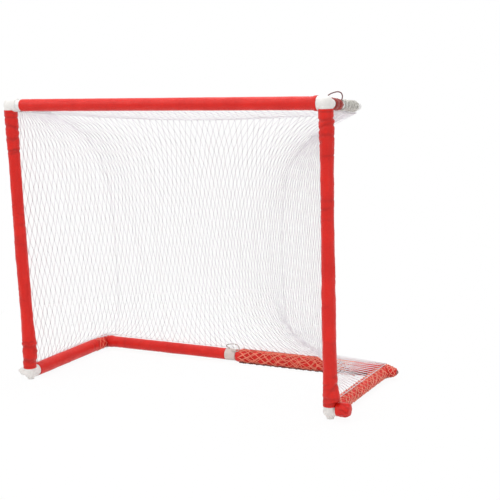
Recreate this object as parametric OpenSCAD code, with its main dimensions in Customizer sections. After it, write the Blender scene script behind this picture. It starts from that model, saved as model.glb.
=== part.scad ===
// Portable hockey goal: plastic pipe frame in cloth sleeves, with a hung diamond net.
// X runs along the crossbar, Y from the mouth to the rear, Z up from the floor.

/* [Frame] */
// Distance between the centre lines of the two posts
post_span = 1320; // [900:10:1900]
// Height of the crossbar's centre line above the base rails' centre lines
bar_rise = 1066; // [700:2:1300]
// Distance from the post plane to the back rail's centre line
base_depth = 533; // [420:1:800]
// Distance from a top corner's centre to the rear end of its arm
arm_reach = 282; // [240:1:360]
// Downward slope of the arms towards the rear, in degrees
arm_droop = 5.5; // [0:0.5:10]
// Height of the base rails' centre lines above the floor
base_height = 28.5; // [28.5:0.1:36]

/* [Pipes] */
// Outer diameter of the main pipes
pipe_od = 42.2; // [36:0.1:48]
// Wall of the main pipes
pipe_wall = 3.6; // [2:0.1:5]
// Outer diameter of the arm pipes
arm_od = 26.7; // [22:0.1:28]
// Wall of the arm pipes
arm_wall = 2.9; // [1.5:0.1:4]
// Radial clearance of a pipe in its socket
slip = 0.05; // [0.02:0.01:0.1]

/* [Fittings] */
// Wall of a main socket
socket_wall = 3.6; // [3:0.1:4.4]
// Depth that a main pipe goes into its socket
socket_grip = 14; // [10:0.5:30]
// How far a fitting's round hub stands out past its sockets
hub_bulge = 1.2; // [0.8:0.1:1.4]
// Wall of an arm socket and of a side outlet
outlet_wall = 3.6; // [2:0.1:4.5]
// Depth that an arm goes into its socket
arm_grip = 22; // [20:1:50]
// Depth that a net peg goes into its side outlet
peg_grip = 14; // [8:0.5:24]
// Length of a net peg's tapered nose
peg_nose = 23; // [15:1:30]
// Length of the coupling in the back rail
coupling_l = 47; // [44:1:80]
// Length of pipe end inside the coupling, on each side
coupling_grip = 10.5; // [8:0.5:12]
// How far the coupling sits from the middle of the back rail, towards the right
coupling_x = -19; // [-30:1:30]
// Radius of the round foot under each base corner
foot_r = 13; // [10:0.5:15]
// Length of the plug of an arm cap inside its pipe
cap_plug = 18; // [10:1:30]
// Thickness of an arm cap's domed end
cap_dome = 6; // [3:0.5:10]

/* [Cloth sleeves] */
// Thickness of a padded sleeve along a pipe
pad = 2.1; // [1:0.1:4]
// Thickness of the sleeve cloth where it covers a socket
cover_cloth = 1.1; // [0.6:0.1:2]
// Length of the slack top end of a post sleeve
slack_top = 110; // [30:1:200]
// Length of the slack lower end of a post sleeve
slack_low = 100; // [20:1:120]
// Distance that a post sleeve's ends keep from the centres of the corners they are pulled over
cuff_end = 18; // [17.5:0.5:26]
// Length over which a sleeve narrows from a covered socket to the pipe
taper_l = 9; // [4:1:20]
// Distance that a sleeve's covering end keeps from a covered rear corner
cover_start = 0.6; // [0.3:0.1:4]
// Distance from the left top corner's centre to the start of the crossbar's sleeve
bar_bare = 56; // [38:1:80]
// Width of the right half of the back rail left bare beside the coupling
bare_gap = 5; // [1:0.5:20]
// Length of the gathered red collar on an arm
collar_l = 72; // [40:1:100]
// Thickness of a collar's gathered cloth at its fullest
collar_cloth = 7.2; // [5.2:0.1:8]
// Half of the height of the cloth boot on the right foot's net peg
boot_high = 28; // [27.7:0.1:28.6]
// How far the boot's closed end stands out past the net peg
boot_slack = 18; // [4:0.5:24]

/* [Net] */
// Thickness of the net's twine
net_t = 3.2; // [2.4:0.1:4]
// Depth of the net at the middle of its drawn-in waist
waist_depth = 300; // [150:5:360]
// How far the net's rear corners are drawn in towards the middle
waist_draw = 290; // [150:5:320]
// Angle round a base rail at which the net lands on it, from its outer side up, in degrees
landing = 78; // [60:1:85]
// Sag of the net's rear top line
line_sag = 25; // [0:1:60]
// Sag of the top net between the crossbar and its rear line
roof_sag = 18; // [0:1:50]
// Columns and rows of half meshes in the back net
back_mesh = [22, 10];
// Columns and rows of half meshes in a side net
side_mesh = [6, 10];
// Columns and rows of half meshes in the top net
roof_mesh = [20, 4];
// Half meshes round and along a rail in a net wrap
wrap_mesh = [8, 10];
// Thickness of a net wrap on a rail
wrap_t = 1.5; // [1:0.1:1.6]
// Radius of the loose wrap on the back rail
loose_r = 31; // [31:0.5:34]
// How far the loose wrap leans towards the mouth
loose_lean = 4; // [0:0.5:4]
// Distance from the right rear corner's centre to the start of the loose wrap
loose_start = 118; // [70:1:200]
// Distance from the coupling's end to the end of the loose wrap, which leaves room for the loop
loose_end = 24; // [10:1:60]
// Thickness of the gathered net edge that laces an arm
lace_d = 5; // [3:0.5:6]
// Distance between two turns of an arm's lacing
lace_pitch = 31; // [15:1:36]
// Turns of an arm's lacing
lace_turns = 4; // [2:0.5:4]

/* [Elastic cords] */
// Diameter of the elastic cords
cord_d = 4; // [3:0.5:5]

/* [Hidden] */
$fn = 64;
soft_gap = 0.3;
pipe_r = pipe_od / 2;
bore_r = pipe_r - pipe_wall;
arm_r = arm_od / 2;
arm_bore_r = arm_r - arm_wall;
socket_r = pipe_r + slip + socket_wall;
hub_r = socket_r + hub_bulge;
pipe_stop = pipe_r + 1;
socket_reach = pipe_stop + socket_grip;
outlet_r = arm_r + slip + outlet_wall;
arm_socket_reach = pipe_stop + arm_grip;
outlet_reach = pipe_stop + peg_grip;
peg_reach = outlet_reach + peg_nose;
peg_rim = outlet_r - 1.5;
peg_tip = 4.5;
coupling_half = coupling_l / 2;
coupling_stop = coupling_half - coupling_grip;

sleeve_in = pipe_r + soft_gap;
sleeve_r = sleeve_in + pad;
cover_in = socket_r + soft_gap;
cover_r = cover_in + cover_cloth;
corner_r = hub_r + soft_gap + cover_cloth;
cover_from = corner_r + cover_start;
bare_from = socket_reach + 1;
collar_in = arm_r + soft_gap;
collar_r = collar_in + collar_cloth;
collar_from = arm_socket_reach + 3;
boot_end = peg_reach + boot_slack;
boot_wall = 2.2;
boot_wide = boot_high - 1;
boot_back = 2.5;
boot_up = 7.6;

half = post_span / 2;
front_y = -cover_r;
rear_y = base_depth + loose_r - loose_lean + wrap_t / 2;
centre_x = (boot_end - peg_reach) / 2;
centre_y = (rear_y + front_y) / 2;

net_r = corner_r + soft_gap + net_t / 2;
net_out = net_r * cos(landing);
net_up = net_r * sin(landing);
under_arm = collar_r + soft_gap + net_t / 2;
tie_y = arm_reach * cos(arm_droop) * 0.95;
roof_side = socket_reach + 14;
roof_front = sleeve_r + soft_gap + net_t / 4;
corner_inset = 2.4;
flare_top = 0.1;
flare_low = 0.07;
flare_more = 0.1;
knot_a = 0.07;
knot_b = 0.045;
wrap_knot = 0.09;
lace_from = collar_from + collar_l * 1.2;
lace_r = arm_r + soft_gap + 0.35 + lace_d / 2;
lace_steps = 16;
cord_hole = cord_d / 2 + 0.6;
cord_up_y = 18;

red = [0.86, 0.17, 0.12];
dark_red = [0.62, 0.14, 0.12];
white = [0.93, 0.92, 0.88];
twine = [0.95, 0.95, 0.93];
elastic = [0.42, 0.24, 0.24];

// Moves the frame so that the origin is on the floor under the middle of its outline.
module placed() {
    translate([-centre_x, -centre_y, base_height]) children();
}

// Turns a shape drawn along Z so that it runs from a along the direction d.
module along(a, d) {
    translate(a) rotate([0, acos(d.z / norm(d)), atan2(d.y, d.x)]) children();
}

module arm_frame(side) {
    along([side * half, 0, bar_rise], [0, cos(arm_droop), -sin(arm_droop)]) children();
}

module pipe(l, r, wall) {
    difference() {
        cylinder(h = l, r = r);
        translate([0, 0, -1]) cylinder(h = l + 2, r = r - wall);
    }
}

module pipe_between(a, b) {
    color(white) placed() along(a, b - a) pipe(norm(b - a), pipe_r, pipe_wall);
}

module crossbar_pipe() {
    pipe_between([-half + pipe_stop, 0, bar_rise], [half - pipe_stop, 0, bar_rise]);
}

module post_pipe(side) {
    pipe_between([side * half, 0, pipe_stop], [side * half, 0, bar_rise - pipe_stop]);
}

module side_pipe(side) {
    pipe_between([side * half, pipe_stop, 0], [side * half, base_depth - pipe_stop, 0]);
}

module back_pipe(side) {
    pipe_between([coupling_x + side * coupling_stop, base_depth, 0],
        [side * (half - pipe_stop), base_depth, 0]);
}

module arm_pipe(side) {
    color(white) placed() arm_frame(side) translate([0, 0, pipe_stop])
        pipe(arm_reach - pipe_stop, arm_r, arm_wall);
}

// A socket's outside, from the hub's centre to its mouth.
module socket_body(d, r, reach) {
    along([0, 0, 0], d) cylinder(h = reach, r = r);
}

// A socket's inside: the pipe's seat, and the waterway behind it up to the hub's centre.
module socket_bore(d, seat_r, way_r, reach) {
    along([0, 0, 0], d) {
        translate([0, 0, pipe_stop]) cylinder(h = reach - pipe_stop + 1, r = seat_r);
        cylinder(h = reach, r = way_r);
    }
}

// A fitting with two main sockets along d1 and d2, and a small one along d3.
module corner(d1, d2, d3, small_reach, foot = false) {
    difference() {
        union() {
            sphere(r = hub_r);
            if (foot) translate([0, 0, -base_height]) cylinder(h = base_height, r = foot_r);
            socket_body(d1, socket_r, socket_reach);
            socket_body(d2, socket_r, socket_reach);
            socket_body(d3, outlet_r, small_reach);
        }
        socket_bore(d1, pipe_r + slip, bore_r, socket_reach);
        socket_bore(d2, pipe_r + slip, bore_r, socket_reach);
        socket_bore(d3, arm_r + slip, arm_bore_r, small_reach);
    }
}

module top_corner(side) {
    color(white) placed() translate([side * half, 0, bar_rise]) difference() {
        corner([-side, 0, 0], [0, 0, -1], [0, cos(arm_droop), -sin(arm_droop)], arm_socket_reach);
        if (side > 0) translate([0, cord_up_y, 0]) cylinder(h = hub_r + 1, r = cord_hole, $fn = 24);
    }
}

// Base fittings stand on a round foot.
module foot_corner(side) {
    color(white) placed() translate([side * half, 0, 0])
        corner([0, 1, 0], [0, 0, 1], [side, 0, 0], outlet_reach, foot = true);
}

module rear_corner(side) {
    color(white) placed() translate([side * half, base_depth, 0])
        corner([0, -1, 0], [-side, 0, 0], [side, 0, 0], outlet_reach, foot = true);
}

module back_rail_coupling() {
    color(white) placed() translate([coupling_x, base_depth, 0]) difference() {
        along([-coupling_half, 0, 0], [1, 0, 0]) difference() {
            cylinder(h = coupling_l, r = socket_r);
            translate([0, 0, -1]) cylinder(h = coupling_l + 2, r = bore_r);
            translate([0, 0, -1]) cylinder(h = coupling_grip + 1, r = pipe_r + slip);
            translate([0, 0, coupling_l - coupling_grip])
                cylinder(h = coupling_grip + 1, r = pipe_r + slip);
        }
        loop_hole(-1, [0, 0, 1]);
        loop_hole(1, loop_lean);
    }
}

// A hole that an end of the coupling's pull loop goes in by.
loop_hole_x = 9;
loop_lean = [0, -0.64, 0.77];
module loop_hole(side, d) {
    along([side * loop_hole_x, 0, 0], d) cylinder(h = socket_r + 1, r = cord_hole, $fn = 24);
}

module net_peg(origin, side) {
    color(white) placed() along(origin, [side, 0, 0]) rotate_extrude() polygon([
        [0, pipe_stop + 0.5],
        [arm_r, pipe_stop + 0.5],
        [arm_r, outlet_reach],
        [peg_rim, outlet_reach],
        [peg_rim, outlet_reach + 4],
        [peg_tip + 2.5, peg_reach - 4],
        [peg_tip, peg_reach - 1],
        [peg_tip - 2, peg_reach],
        [0, peg_reach]
    ]);
}

module arm_cap(side) {
    color(white) placed() arm_frame(side) translate([0, 0, arm_reach]) rotate_extrude() polygon([
        [0, -cap_plug],
        [arm_bore_r - slip, -cap_plug],
        [arm_bore_r - slip, 0],
        [arm_r, 0],
        [arm_r, cap_dome * 0.4],
        [arm_r - 2, cap_dome * 0.75],
        [arm_r - 6, cap_dome],
        [0, cap_dome]
    ]);
}

// A sleeve of length l along Z. Over its first c0 and last c1 it is wide enough to cover a
// socket, and where these meet it is that wide all along.
function sleeve_outline(l, c0, c1) = c0 + c1 + 2 * taper_l >= l
    ? [[cover_in, 0], [cover_in, l], [cover_r, l], [cover_r, 0]]
    : concat(
        [[c0 > 0 ? cover_in : sleeve_in, 0]],
        c0 > 0 ? [[cover_in, c0], [sleeve_in, c0 + taper_l]] : [],
        c1 > 0 ? [[sleeve_in, l - c1 - taper_l], [cover_in, l - c1]] : [],
        [[c1 > 0 ? cover_in : sleeve_in, l], [c1 > 0 ? cover_r : sleeve_r, l]],
        c1 > 0 ? [[cover_r, l - c1], [sleeve_r, l - c1 - taper_l]] : [],
        c0 > 0 ? [[sleeve_r, c0 + taper_l], [cover_r, c0]] : [],
        [[c0 > 0 ? cover_r : sleeve_r, 0]]
    );

module sleeve_between(a, b, c0, c1) {
    color(red) placed() along(a, b - a)
        rotate_extrude() polygon(sleeve_outline(norm(b - a), c0, c1));
}

cover_l = socket_reach - cover_from + 1;
bar_cover_from = cover_r + cover_start;

module crossbar_sleeve() {
    sleeve_between([-half + bar_bare, 0, bar_rise], [half - bar_cover_from, 0, bar_rise],
        0, socket_reach - bar_cover_from + 1);
}

// A post sleeve is pulled over both its corners, and notched round their other sockets.
module post_sleeve(side) {
    color(red) placed() translate([side * half, 0, 0]) difference() {
        translate([0, 0, cuff_end]) rotate_extrude()
            polygon(sleeve_outline(bar_rise - 2 * cuff_end, slack_low, slack_top));
        socket_body([0, 1, 0], cover_in, 2 * cover_r);
        translate([0, 0, bar_rise]) {
            socket_body([-side, 0, 0], cover_in, 2 * cover_r);
            socket_body([0, cos(arm_droop), -sin(arm_droop)], outlet_r + soft_gap, 2 * cover_r);
        }
    }
}

// A side rail's sleeve. The left one is slack all along.
module side_sleeve(side) {
    sleeve_between([side * half, bare_from, 0], [side * half, base_depth - cover_from, 0],
        0, side < 0 ? base_depth : cover_l);
}

module left_back_sleeve() {
    sleeve_between([-half + cover_from, base_depth, 0],
        [coupling_x - coupling_half - 1, base_depth, 0], cover_l, 0);
}

module right_back_sleeve() {
    sleeve_between([half - cover_from, base_depth, 0],
        [coupling_x + coupling_half + bare_gap, base_depth, 0], cover_l, 0);
}

// The cloth over a rear corner, open for its sockets and its foot. The right one also covers the
// net peg, as far as its tip.
module rear_cover(side) {
    over_peg = side > 0;
    color(red) placed() translate([side * half, base_depth, 0]) difference() {
        union() {
            sphere(r = corner_r);
            if (over_peg) along([0, 0, 0], [side, 0, 0]) rotate_extrude() polygon([
                [0, 0],
                [corner_r - 1, 8],
                [outlet_r + 3.2, outlet_reach - 4],
                [outlet_r + 1.8, outlet_reach + 4],
                [peg_tip + 5, peg_reach - 6],
                [0, peg_reach - 6]
            ]);
        }
        sphere(r = hub_r + soft_gap);
        socket_body([0, -1, 0], cover_in, 2 * corner_r);
        socket_body([-side, 0, 0], cover_in, 2 * corner_r);
        along([0, 0, 0], [side, 0, 0]) rotate_extrude() polygon([
            [0, 0],
            [outlet_r + soft_gap, 0],
            [outlet_r + soft_gap, outlet_reach + 4],
            [peg_tip + 3.5, peg_reach - 5],
            [0, peg_reach - 5]
        ]);
        translate([0, 0, -2 * corner_r]) cylinder(h = 2 * corner_r, r = foot_r + 3);
    }
}

function oval(a, b) = [for (k = [0:35]) [a * cos(10 * k), b * sin(10 * k)]];

// A cloth boot over the right foot's net peg, open towards the hub.
module right_foot_boot() {
    color(red) placed() translate([half + hub_r + 1, boot_back, boot_up]) rotate([90, 0, 90])
        difference() {
            linear_extrude(boot_end - hub_r - 1) polygon(oval(boot_wide, boot_high));
            translate([0, 0, -1]) linear_extrude(boot_end - hub_r - boot_wall)
                polygon(oval(boot_wide - boot_wall, boot_high - boot_wall));
        }
}

// The gathered red cloth tied round an arm, drawn in at its tie.
module arm_collar(side) {
    color(dark_red) placed() arm_frame(side) translate([0, 0, collar_from]) rotate_extrude()
        polygon([
            [collar_in, 0],
            [collar_r - 3, 0],
            [collar_r, collar_l * 0.12],
            [collar_r, collar_l * 0.3],
            [collar_r - 4.5, collar_l * 0.42],
            [collar_r - 4.5, collar_l * 0.5],
            [collar_r - 1, collar_l * 0.62],
            [collar_r - 1.5, collar_l * 0.8],
            [collar_r - 5, collar_l],
            [collar_in, collar_l]
        ]);
}

function mix(a, b, k) = a + (b - a) * k;
function unit(v) = v / norm(v);
function arch(s) = 1 - pow(2 * s - 1, 2);

// How much of an edge's shape is left at distance q from it, both as shares of the height.
function fade(q, k) = (exp(-q / k) - exp(-1 / k)) / (1 - exp(-1 / k));

function arm_z(y) = bar_rise - y * tan(arm_droop);
function waist_y(x) = net_r + waist_depth * (1 - pow(x / half, 2));

// A point of a hung net between its top point and its low point, drawn in to its waist.
function hung(top, waist, low, t, w) =
    let (
        a = fade(t, flare_top + flare_more * w),
        b = fade(1 - t, flare_low + flare_more * w)
    ) [
        waist.x + (top.x - waist.x) * a + (low.x - waist.x) * b,
        waist.y + (top.y - waist.y) * a + (low.y - waist.y) * b,
        mix(top.z, low.z, t)
    ];

function side_net_point(side, s, t) =
    let (
        top_y = mix(net_r, tie_y, s),
        top = [side * half, top_y, arm_z(top_y) - under_arm],
        x = half - waist_draw * s,
        low = [side * (half + net_out), mix(net_r, base_depth + net_out, s), net_up]
    ) hung(top, [side * x, waist_y(x)], low, t, 0);

function back_net_point(s, t) =
    let (
        top = [mix(-half, half, s), tie_y, arm_z(tie_y) - under_arm - line_sag * arch(s)],
        x = mix(-half + waist_draw, half - waist_draw, s),
        low = [mix(-half - net_out, half + net_out, s), base_depth + net_out, net_up]
    ) hung(top, [x, waist_y(x)], low, t, arch(s));

function roof_point(s, t) =
    let (
        front = [mix(-half + roof_side, half - roof_side, s), roof_front, bar_rise],
        rear_z = arm_z(tie_y) - under_arm - line_sag * arch(s) + net_t / 2 + soft_gap,
        rear = [mix(-half + under_arm, half - under_arm, s), tie_y, rear_z],
        p = mix(front, rear, t)
    ) p - [0, 0, roof_sag * arch(t) * arch(s)];

// A net wrap's surface round the line from a to b, with radius r. It leans sideways by lean, and
// it is flattened against the floor below and against the hung net above.
wrap_r = (sleeve_r + soft_gap) / cos(180 / wrap_mesh[0]) + wrap_t / 2;
wrap_low = -base_height + soft_gap + wrap_t / 2;
wrap_high = net_up - net_t / 2 - soft_gap - wrap_t / 2;
function wrap_point(a, b, r, lean, s, t) =
    let (
        d = unit(b - a),
        across = [d.y, -d.x, 0],
        z = min(max(r * sin(360 * s), wrap_low), wrap_high)
    ) mix(a, b, t) + across * (r * cos(360 * s) - lean) + [0, 0, z];

// Rows lie closer together towards the top and the bottom, where the net turns most.
function row(q) = q - 0.45 * sin(360 * q) / (2 * PI);

// A net of diamond meshes: knots at the even grid places, a strand along each grid square's
// diagonal, and a hem round the edges. p is the surface. A tube closes on itself round s, and
// has no hem.
module net(m, n, p, thick, a, b, tube = false) {
    step = 0.002;
    function grid(i, j, da, db) = tube
        ? [(i + da) / m, (j + db + b) / (n + 2 * b)]
        : [(i + da + a) / (m + 2 * a), (j + db + b) / (n + 2 * b)];
    function skin(g, side) =
        let (
            here = p(g[0], g[1]),
            ds = p(g[0] + step, g[1]) - p(g[0] - step, g[1]),
            dt = p(g[0], g[1] + step) - p(g[0], g[1] - step)
        ) here + unit(cross(ds, dt)) * (side == 0 ? thick / 2 : -thick / 2);
    last = tube ? m - 1 : m;
    slots = [[a, 0], [0, b], [-a, 0], [0, -b]];
    points = [
        for (i = [0:last]) for (j = [0:n]) if ((i + j) % 2 == 0)
            for (o = slots) for (side = [0, 1]) skin(grid(i, j, o[0], o[1]), side)
    ];
    function v(i, j, slot, side) =
        (((tube ? (i + m) % m : i) * (n + 1) + j) / 2 * 4 + slot) * 2 + side;
    // Two triangles on each side of the net over one four-cornered patch.
    function patch(q) = [
        [v(q[0].x, q[0].y, q[0].z, 0), v(q[2].x, q[2].y, q[2].z, 0), v(q[1].x, q[1].y, q[1].z, 0)],
        [v(q[0].x, q[0].y, q[0].z, 0), v(q[3].x, q[3].y, q[3].z, 0), v(q[2].x, q[2].y, q[2].z, 0)],
        [v(q[0].x, q[0].y, q[0].z, 1), v(q[1].x, q[1].y, q[1].z, 1), v(q[2].x, q[2].y, q[2].z, 1)],
        [v(q[0].x, q[0].y, q[0].z, 1), v(q[2].x, q[2].y, q[2].z, 1), v(q[3].x, q[3].y, q[3].z, 1)]
    ];
    // Two triangles through the net's thickness from e to f.
    function wall(e, f) = [
        [v(e.x, e.y, e.z, 0), v(f.x, f.y, f.z, 1), v(f.x, f.y, f.z, 0)],
        [v(e.x, e.y, e.z, 0), v(e.x, e.y, e.z, 1), v(f.x, f.y, f.z, 1)]
    ];
    knots = [
        for (i = [0:last]) for (j = [0:n]) if ((i + j) % 2 == 0)
            each patch([[i, j, 0], [i, j, 1], [i, j, 2], [i, j, 3]])
    ];
    strands = [
        for (i = [0:m - 1]) for (j = [0:n - 1]) each (i + j) % 2 == 0
            ? patch([[i, j, 0], [i + 1, j + 1, 3], [i + 1, j + 1, 2], [i, j, 1]])
            : patch([[i + 1, j, 1], [i, j + 1, 0], [i, j + 1, 3], [i + 1, j, 2]])
    ];
    meshes = [
        for (i = [0:last]) for (j = [0:n]) if ((i + j) % 2 == 1)
            let (ring = concat(
                tube || i > 0 ? [[i - 1, j, 0]] : [],
                j > 0 ? [[i, j - 1, 1]] : [],
                tube || i < m ? [[i + 1, j, 2]] : [],
                j < n ? [[i, j + 1, 3]] : []
            )) for (k = [0:len(ring) - 1]) if (!tube || k != (j == 0 ? 0 : j == n ? 2 : -1))
                each wall(ring[k], ring[(k + 1) % len(ring)])
    ];
    tips = tube ? [
        for (i = [0:2:m - 2]) each concat(
            wall([i, 0, 0], [i, 0, 3]),
            wall([i, 0, 3], [i, 0, 2]),
            wall([i, n, 2], [i, n, 1]),
            wall([i, n, 1], [i, n, 0])
        )
    ] : [];
    hem_rows = tube ? [] : [
        for (i = [1:2:m - 1]) each concat(
            patch([[i - 1, 0, 3], [i + 1, 0, 3], [i + 1, 0, 2], [i - 1, 0, 0]]),
            wall([i + 1, 0, 3], [i - 1, 0, 3]),
            patch([[i - 1, n, 0], [i + 1, n, 2], [i + 1, n, 1], [i - 1, n, 1]]),
            wall([i - 1, n, 1], [i + 1, n, 1])
        )
    ];
    hem_columns = tube ? [] : [
        for (j = [1:2:n - 1]) each concat(
            patch([[0, j - 1, 1], [0, j + 1, 3], [0, j + 1, 2], [0, j - 1, 2]]),
            wall([0, j - 1, 2], [0, j + 1, 2]),
            patch([[m, j - 1, 0], [m, j + 1, 0], [m, j + 1, 3], [m, j - 1, 1]]),
            wall([m, j + 1, 0], [m, j - 1, 0])
        )
    ];
    corners = tube ? [] : concat(
        wall([0, 0, 3], [0, 0, 2]),
        wall([m, 0, 0], [m, 0, 3]),
        wall([m, n, 1], [m, n, 0]),
        wall([0, n, 2], [0, n, 1])
    );
    polyhedron(points, concat(knots, strands, meshes, tips, hem_rows, hem_columns, corners));
}

// Keeps a panel's edge clear of the panel that meets it in the rear corners.
side_trim = corner_inset / base_depth;
back_trim = corner_inset / post_span;

module side_net(side) {
    color(twine) placed() net(side_mesh[0], side_mesh[1],
        function (s, t) side_net_point(side,
            (side < 0 ? s : 1 - s) * (1 - side_trim), row(1 - t)),
        net_t, knot_a, knot_b);
}

module back_net() {
    color(twine) placed() net(back_mesh[0], back_mesh[1],
        function (s, t) back_net_point(mix(back_trim, 1 - back_trim, s), row(1 - t)),
        net_t, knot_a, knot_b);
}

module top_net() {
    color(twine) placed() net(roof_mesh[0], roof_mesh[1],
        function (s, t) roof_point(s, t), net_t, knot_a, knot_b);
}

module net_wrap(a, b, r, lean) {
    color(twine) placed() net(wrap_mesh[0], wrap_mesh[1],
        function (s, t) wrap_point(a, b, r, lean, s, t), wrap_t, wrap_knot, wrap_knot, tube = true);
}

module right_side_net_wrap() {
    net_wrap([half, bare_from + 8, 0], [half, base_depth - cover_from - cover_l - taper_l, 0],
        wrap_r, 0);
}

module right_back_net_wrap() {
    net_wrap([half - loose_start, base_depth, 0],
        [coupling_x + coupling_half + loose_end, base_depth, 0], loose_r, loose_lean);
}

// A tube swept along points, with rings square to the route.
module swept(points, r, sides) {
    n = len(points);
    tangents = [
        for (k = [0:n - 1]) unit(points[min(k + 1, n - 1)] - points[max(k - 1, 0)])
    ];
    first = abs(tangents[0].z) > 0.9 ? [1, 0, 0] : [0, 0, 1];
    normals = [
        for (k = 0, q = first; k < n; k = k + 1, q = k < n ? q - (q * tangents[k]) * tangents[k] : q)
            unit(q - (q * tangents[k]) * tangents[k])
    ];
    rings = [
        for (k = [0:n - 1]) for (i = [0:sides - 1])
            let (c = cos(360 * i / sides), s = sin(360 * i / sides))
            points[k] + r * (normals[k] * c + cross(tangents[k], normals[k]) * s)
    ];
    function at(k, i) = k * sides + i % sides;
    skin = [
        for (k = [0:n - 2]) for (i = [0:sides - 1]) each [
            [at(k, i), at(k + 1, i + 1), at(k, i + 1)],
            [at(k, i), at(k + 1, i), at(k + 1, i + 1)]
        ]
    ];
    ends = [
        for (i = [1:sides - 2]) each [
            [at(0, 0), at(0, i), at(0, i + 1)],
            [at(n - 1, 0), at(n - 1, i + 1), at(n - 1, i)]
        ]
    ];
    polyhedron(concat(rings), concat(skin, ends));
}

// The centres of an arm lacing's rings, one unbroken helix along Z.
lace_points = [
    for (k = [0:lace_turns * lace_steps])
        let (turn = k / lace_steps)
        [lace_r * cos(360 * turn), lace_r * sin(360 * turn), lace_pitch * turn]
];
lace_gap = min([
    for (k = [0:len(lace_points) - 1 - lace_steps / 2])
        for (m = [k + lace_steps / 2:len(lace_points) - 1])
            norm(lace_points[m] - lace_points[k]) - lace_d
]);
echo(least_gap_between_lacing_turns_mm = lace_gap);

module arm_lacing(side) {
    color(twine) placed() arm_frame(side) translate([0, 0, lace_from])
        swept(lace_points, lace_d / 2, 6);
}

// The main cords run taut, along the inner side of each bend. The bend's points are taken
// from the edge where the two bores meet.
taut = bore_r - cord_d / 2 - soft_gap;
bend = [[2.3, -20], [4.5, -8], [5, -1.5], [3.5, 3.5], [-1.5, 5], [-8, 4.5], [-20, 2.3]];

// Half of the base elastic's route, from the foot to the back rail.
function base_half(side) = concat(
    [[side * (half - taut), 8, 0], [side * (half - taut), base_depth / 2, 0]],
    [for (p = bend) [side * (half - bore_r + p.x), base_depth - bore_r + p.y, 0]],
    [[side * half / 2, base_depth - taut, 0]]
);

// Half of the upper elastic's route, from the foot up to the crossbar.
function upper_half(side) = concat(
    [[side * (half - taut), 0, 30], [side * (half - taut), 0, bar_rise / 2]],
    [for (p = bend) [side * (half - bore_r + p.x), 0, bar_rise - bore_r + p.y]],
    [[side * half / 2, 0, bar_rise - taut]]
);

function reversed(p) = [for (k = [len(p) - 1:-1:0]) p[k]];

module base_elastic() {
    color(elastic) placed()
        swept(concat(base_half(-1), reversed(base_half(1))), cord_d / 2, 8);
}

module upper_elastic() {
    color(elastic) placed()
        swept(concat(upper_half(-1), reversed(upper_half(1))), cord_d / 2, 8);
}

// In the arm's own frame: from inside the cap to the hub, where the left one ends.
arm_line = [
    [0, 0, arm_reach - cap_plug - soft_gap],
    [0, 0, arm_reach / 2],
    [0, 0, 24]
];

module left_arm_elastic() {
    color(elastic) placed() arm_frame(-1) swept(concat(arm_line, [[0, 0, 8]]), cord_d / 2, 8);
}

// The right one leaves by a hole in the hub's top, and arches back to the arm's collar. Its
// points are taken from the top corner's centre.
function arm_to_frame(p) =
    [half + p.x, p.z * cos(arm_droop), bar_rise - p.z * sin(arm_droop)];
arch_end = [13, 106];
arch_end_r = collar_r - 1.9 + cord_d / 2 + 0.4;
arch_points = [
    [0, cord_up_y + 4, 0.5],
    [0, cord_up_y + 1.5, 4.5],
    [0, cord_up_y, 10],
    [0, cord_up_y, 20],
    [0, cord_up_y + 2.5, 24],
    [0, 30, 26.3],
    [0.5, 52, 30.2],
    [3.5, 84, 33],
    [7, 98, 32],
    [10, 109, 28],
    [12, 114, 20],
    [12.7, 112, 13]
];
right_arm_route = concat(
    [for (p = arm_line) arm_to_frame(p)],
    [for (p = arch_points) [half + p.x, p.y, bar_rise + p.z]],
    [[half + arch_end.x, arch_end.y,
        arm_z(arch_end.y) + sqrt(pow(arch_end_r, 2) - pow(arch_end.x, 2))]]
);

module right_arm_elastic() {
    color(elastic) placed() swept(right_arm_route, cord_d / 2, 8);
}

// The small pull loop over the coupling, with both ends tucked in by its holes. Its points are
// taken from the coupling's centre, with z from its top.
loop_points = [
    [-loop_hole_x, 0, 2],
    [-16, -1, 4.2],
    [-22, -3, 8.5],
    [-21, -4.5, 14.5],
    [-12, -6, 18.5],
    [4, -8, 22.5],
    [20, -10, 24.2],
    [34, -12, 21.5],
    [42, -13.5, 14.5],
    [43.5, -16, 5],
    [38, -19, -3],
    [24, -20.5, -5.5]
];
loop_near = socket_r + cord_d / 2;
loop_route = concat(
    [[-loop_hole_x, 0, socket_r / 2]],
    [for (p = loop_points) [p.x, p.y, socket_r + p.z]],
    [
        [loop_hole_x + 5, loop_lean.y * (loop_near + 0.7), loop_lean.z * (loop_near + 0.7)],
        [loop_hole_x, loop_lean.y * (loop_near - 1), loop_lean.z * (loop_near - 1)],
        [loop_hole_x, loop_lean.y * socket_r / 2, loop_lean.z * socket_r / 2]
    ]
);

module coupling_loop() {
    color(elastic) placed() translate([coupling_x, base_depth, 0])
        swept(loop_route, cord_d / 2, 8);
}

crossbar_pipe();
post_pipe(-1);  // left_post_pipe
post_pipe(1);  // right_post_pipe
side_pipe(-1);  // left_side_pipe
side_pipe(1);  // right_side_pipe
back_pipe(-1);  // left_back_pipe
back_pipe(1);  // right_back_pipe
arm_pipe(-1);  // left_arm_pipe
arm_pipe(1);  // right_arm_pipe
top_corner(-1);  // top_left_corner
top_corner(1);  // top_right_corner
foot_corner(-1);  // left_foot_corner
foot_corner(1);  // right_foot_corner
rear_corner(-1);  // rear_left_corner
rear_corner(1);  // rear_right_corner
back_rail_coupling();
net_peg([-half, 0, 0], -1);  // left_foot_peg
net_peg([half, 0, 0], 1);  // right_foot_peg
net_peg([-half, base_depth, 0], -1);  // rear_left_peg
net_peg([half, base_depth, 0], 1);  // rear_right_peg
arm_cap(-1);  // left_arm_cap
arm_cap(1);  // right_arm_cap
crossbar_sleeve();
post_sleeve(-1);  // left_post_sleeve
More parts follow.
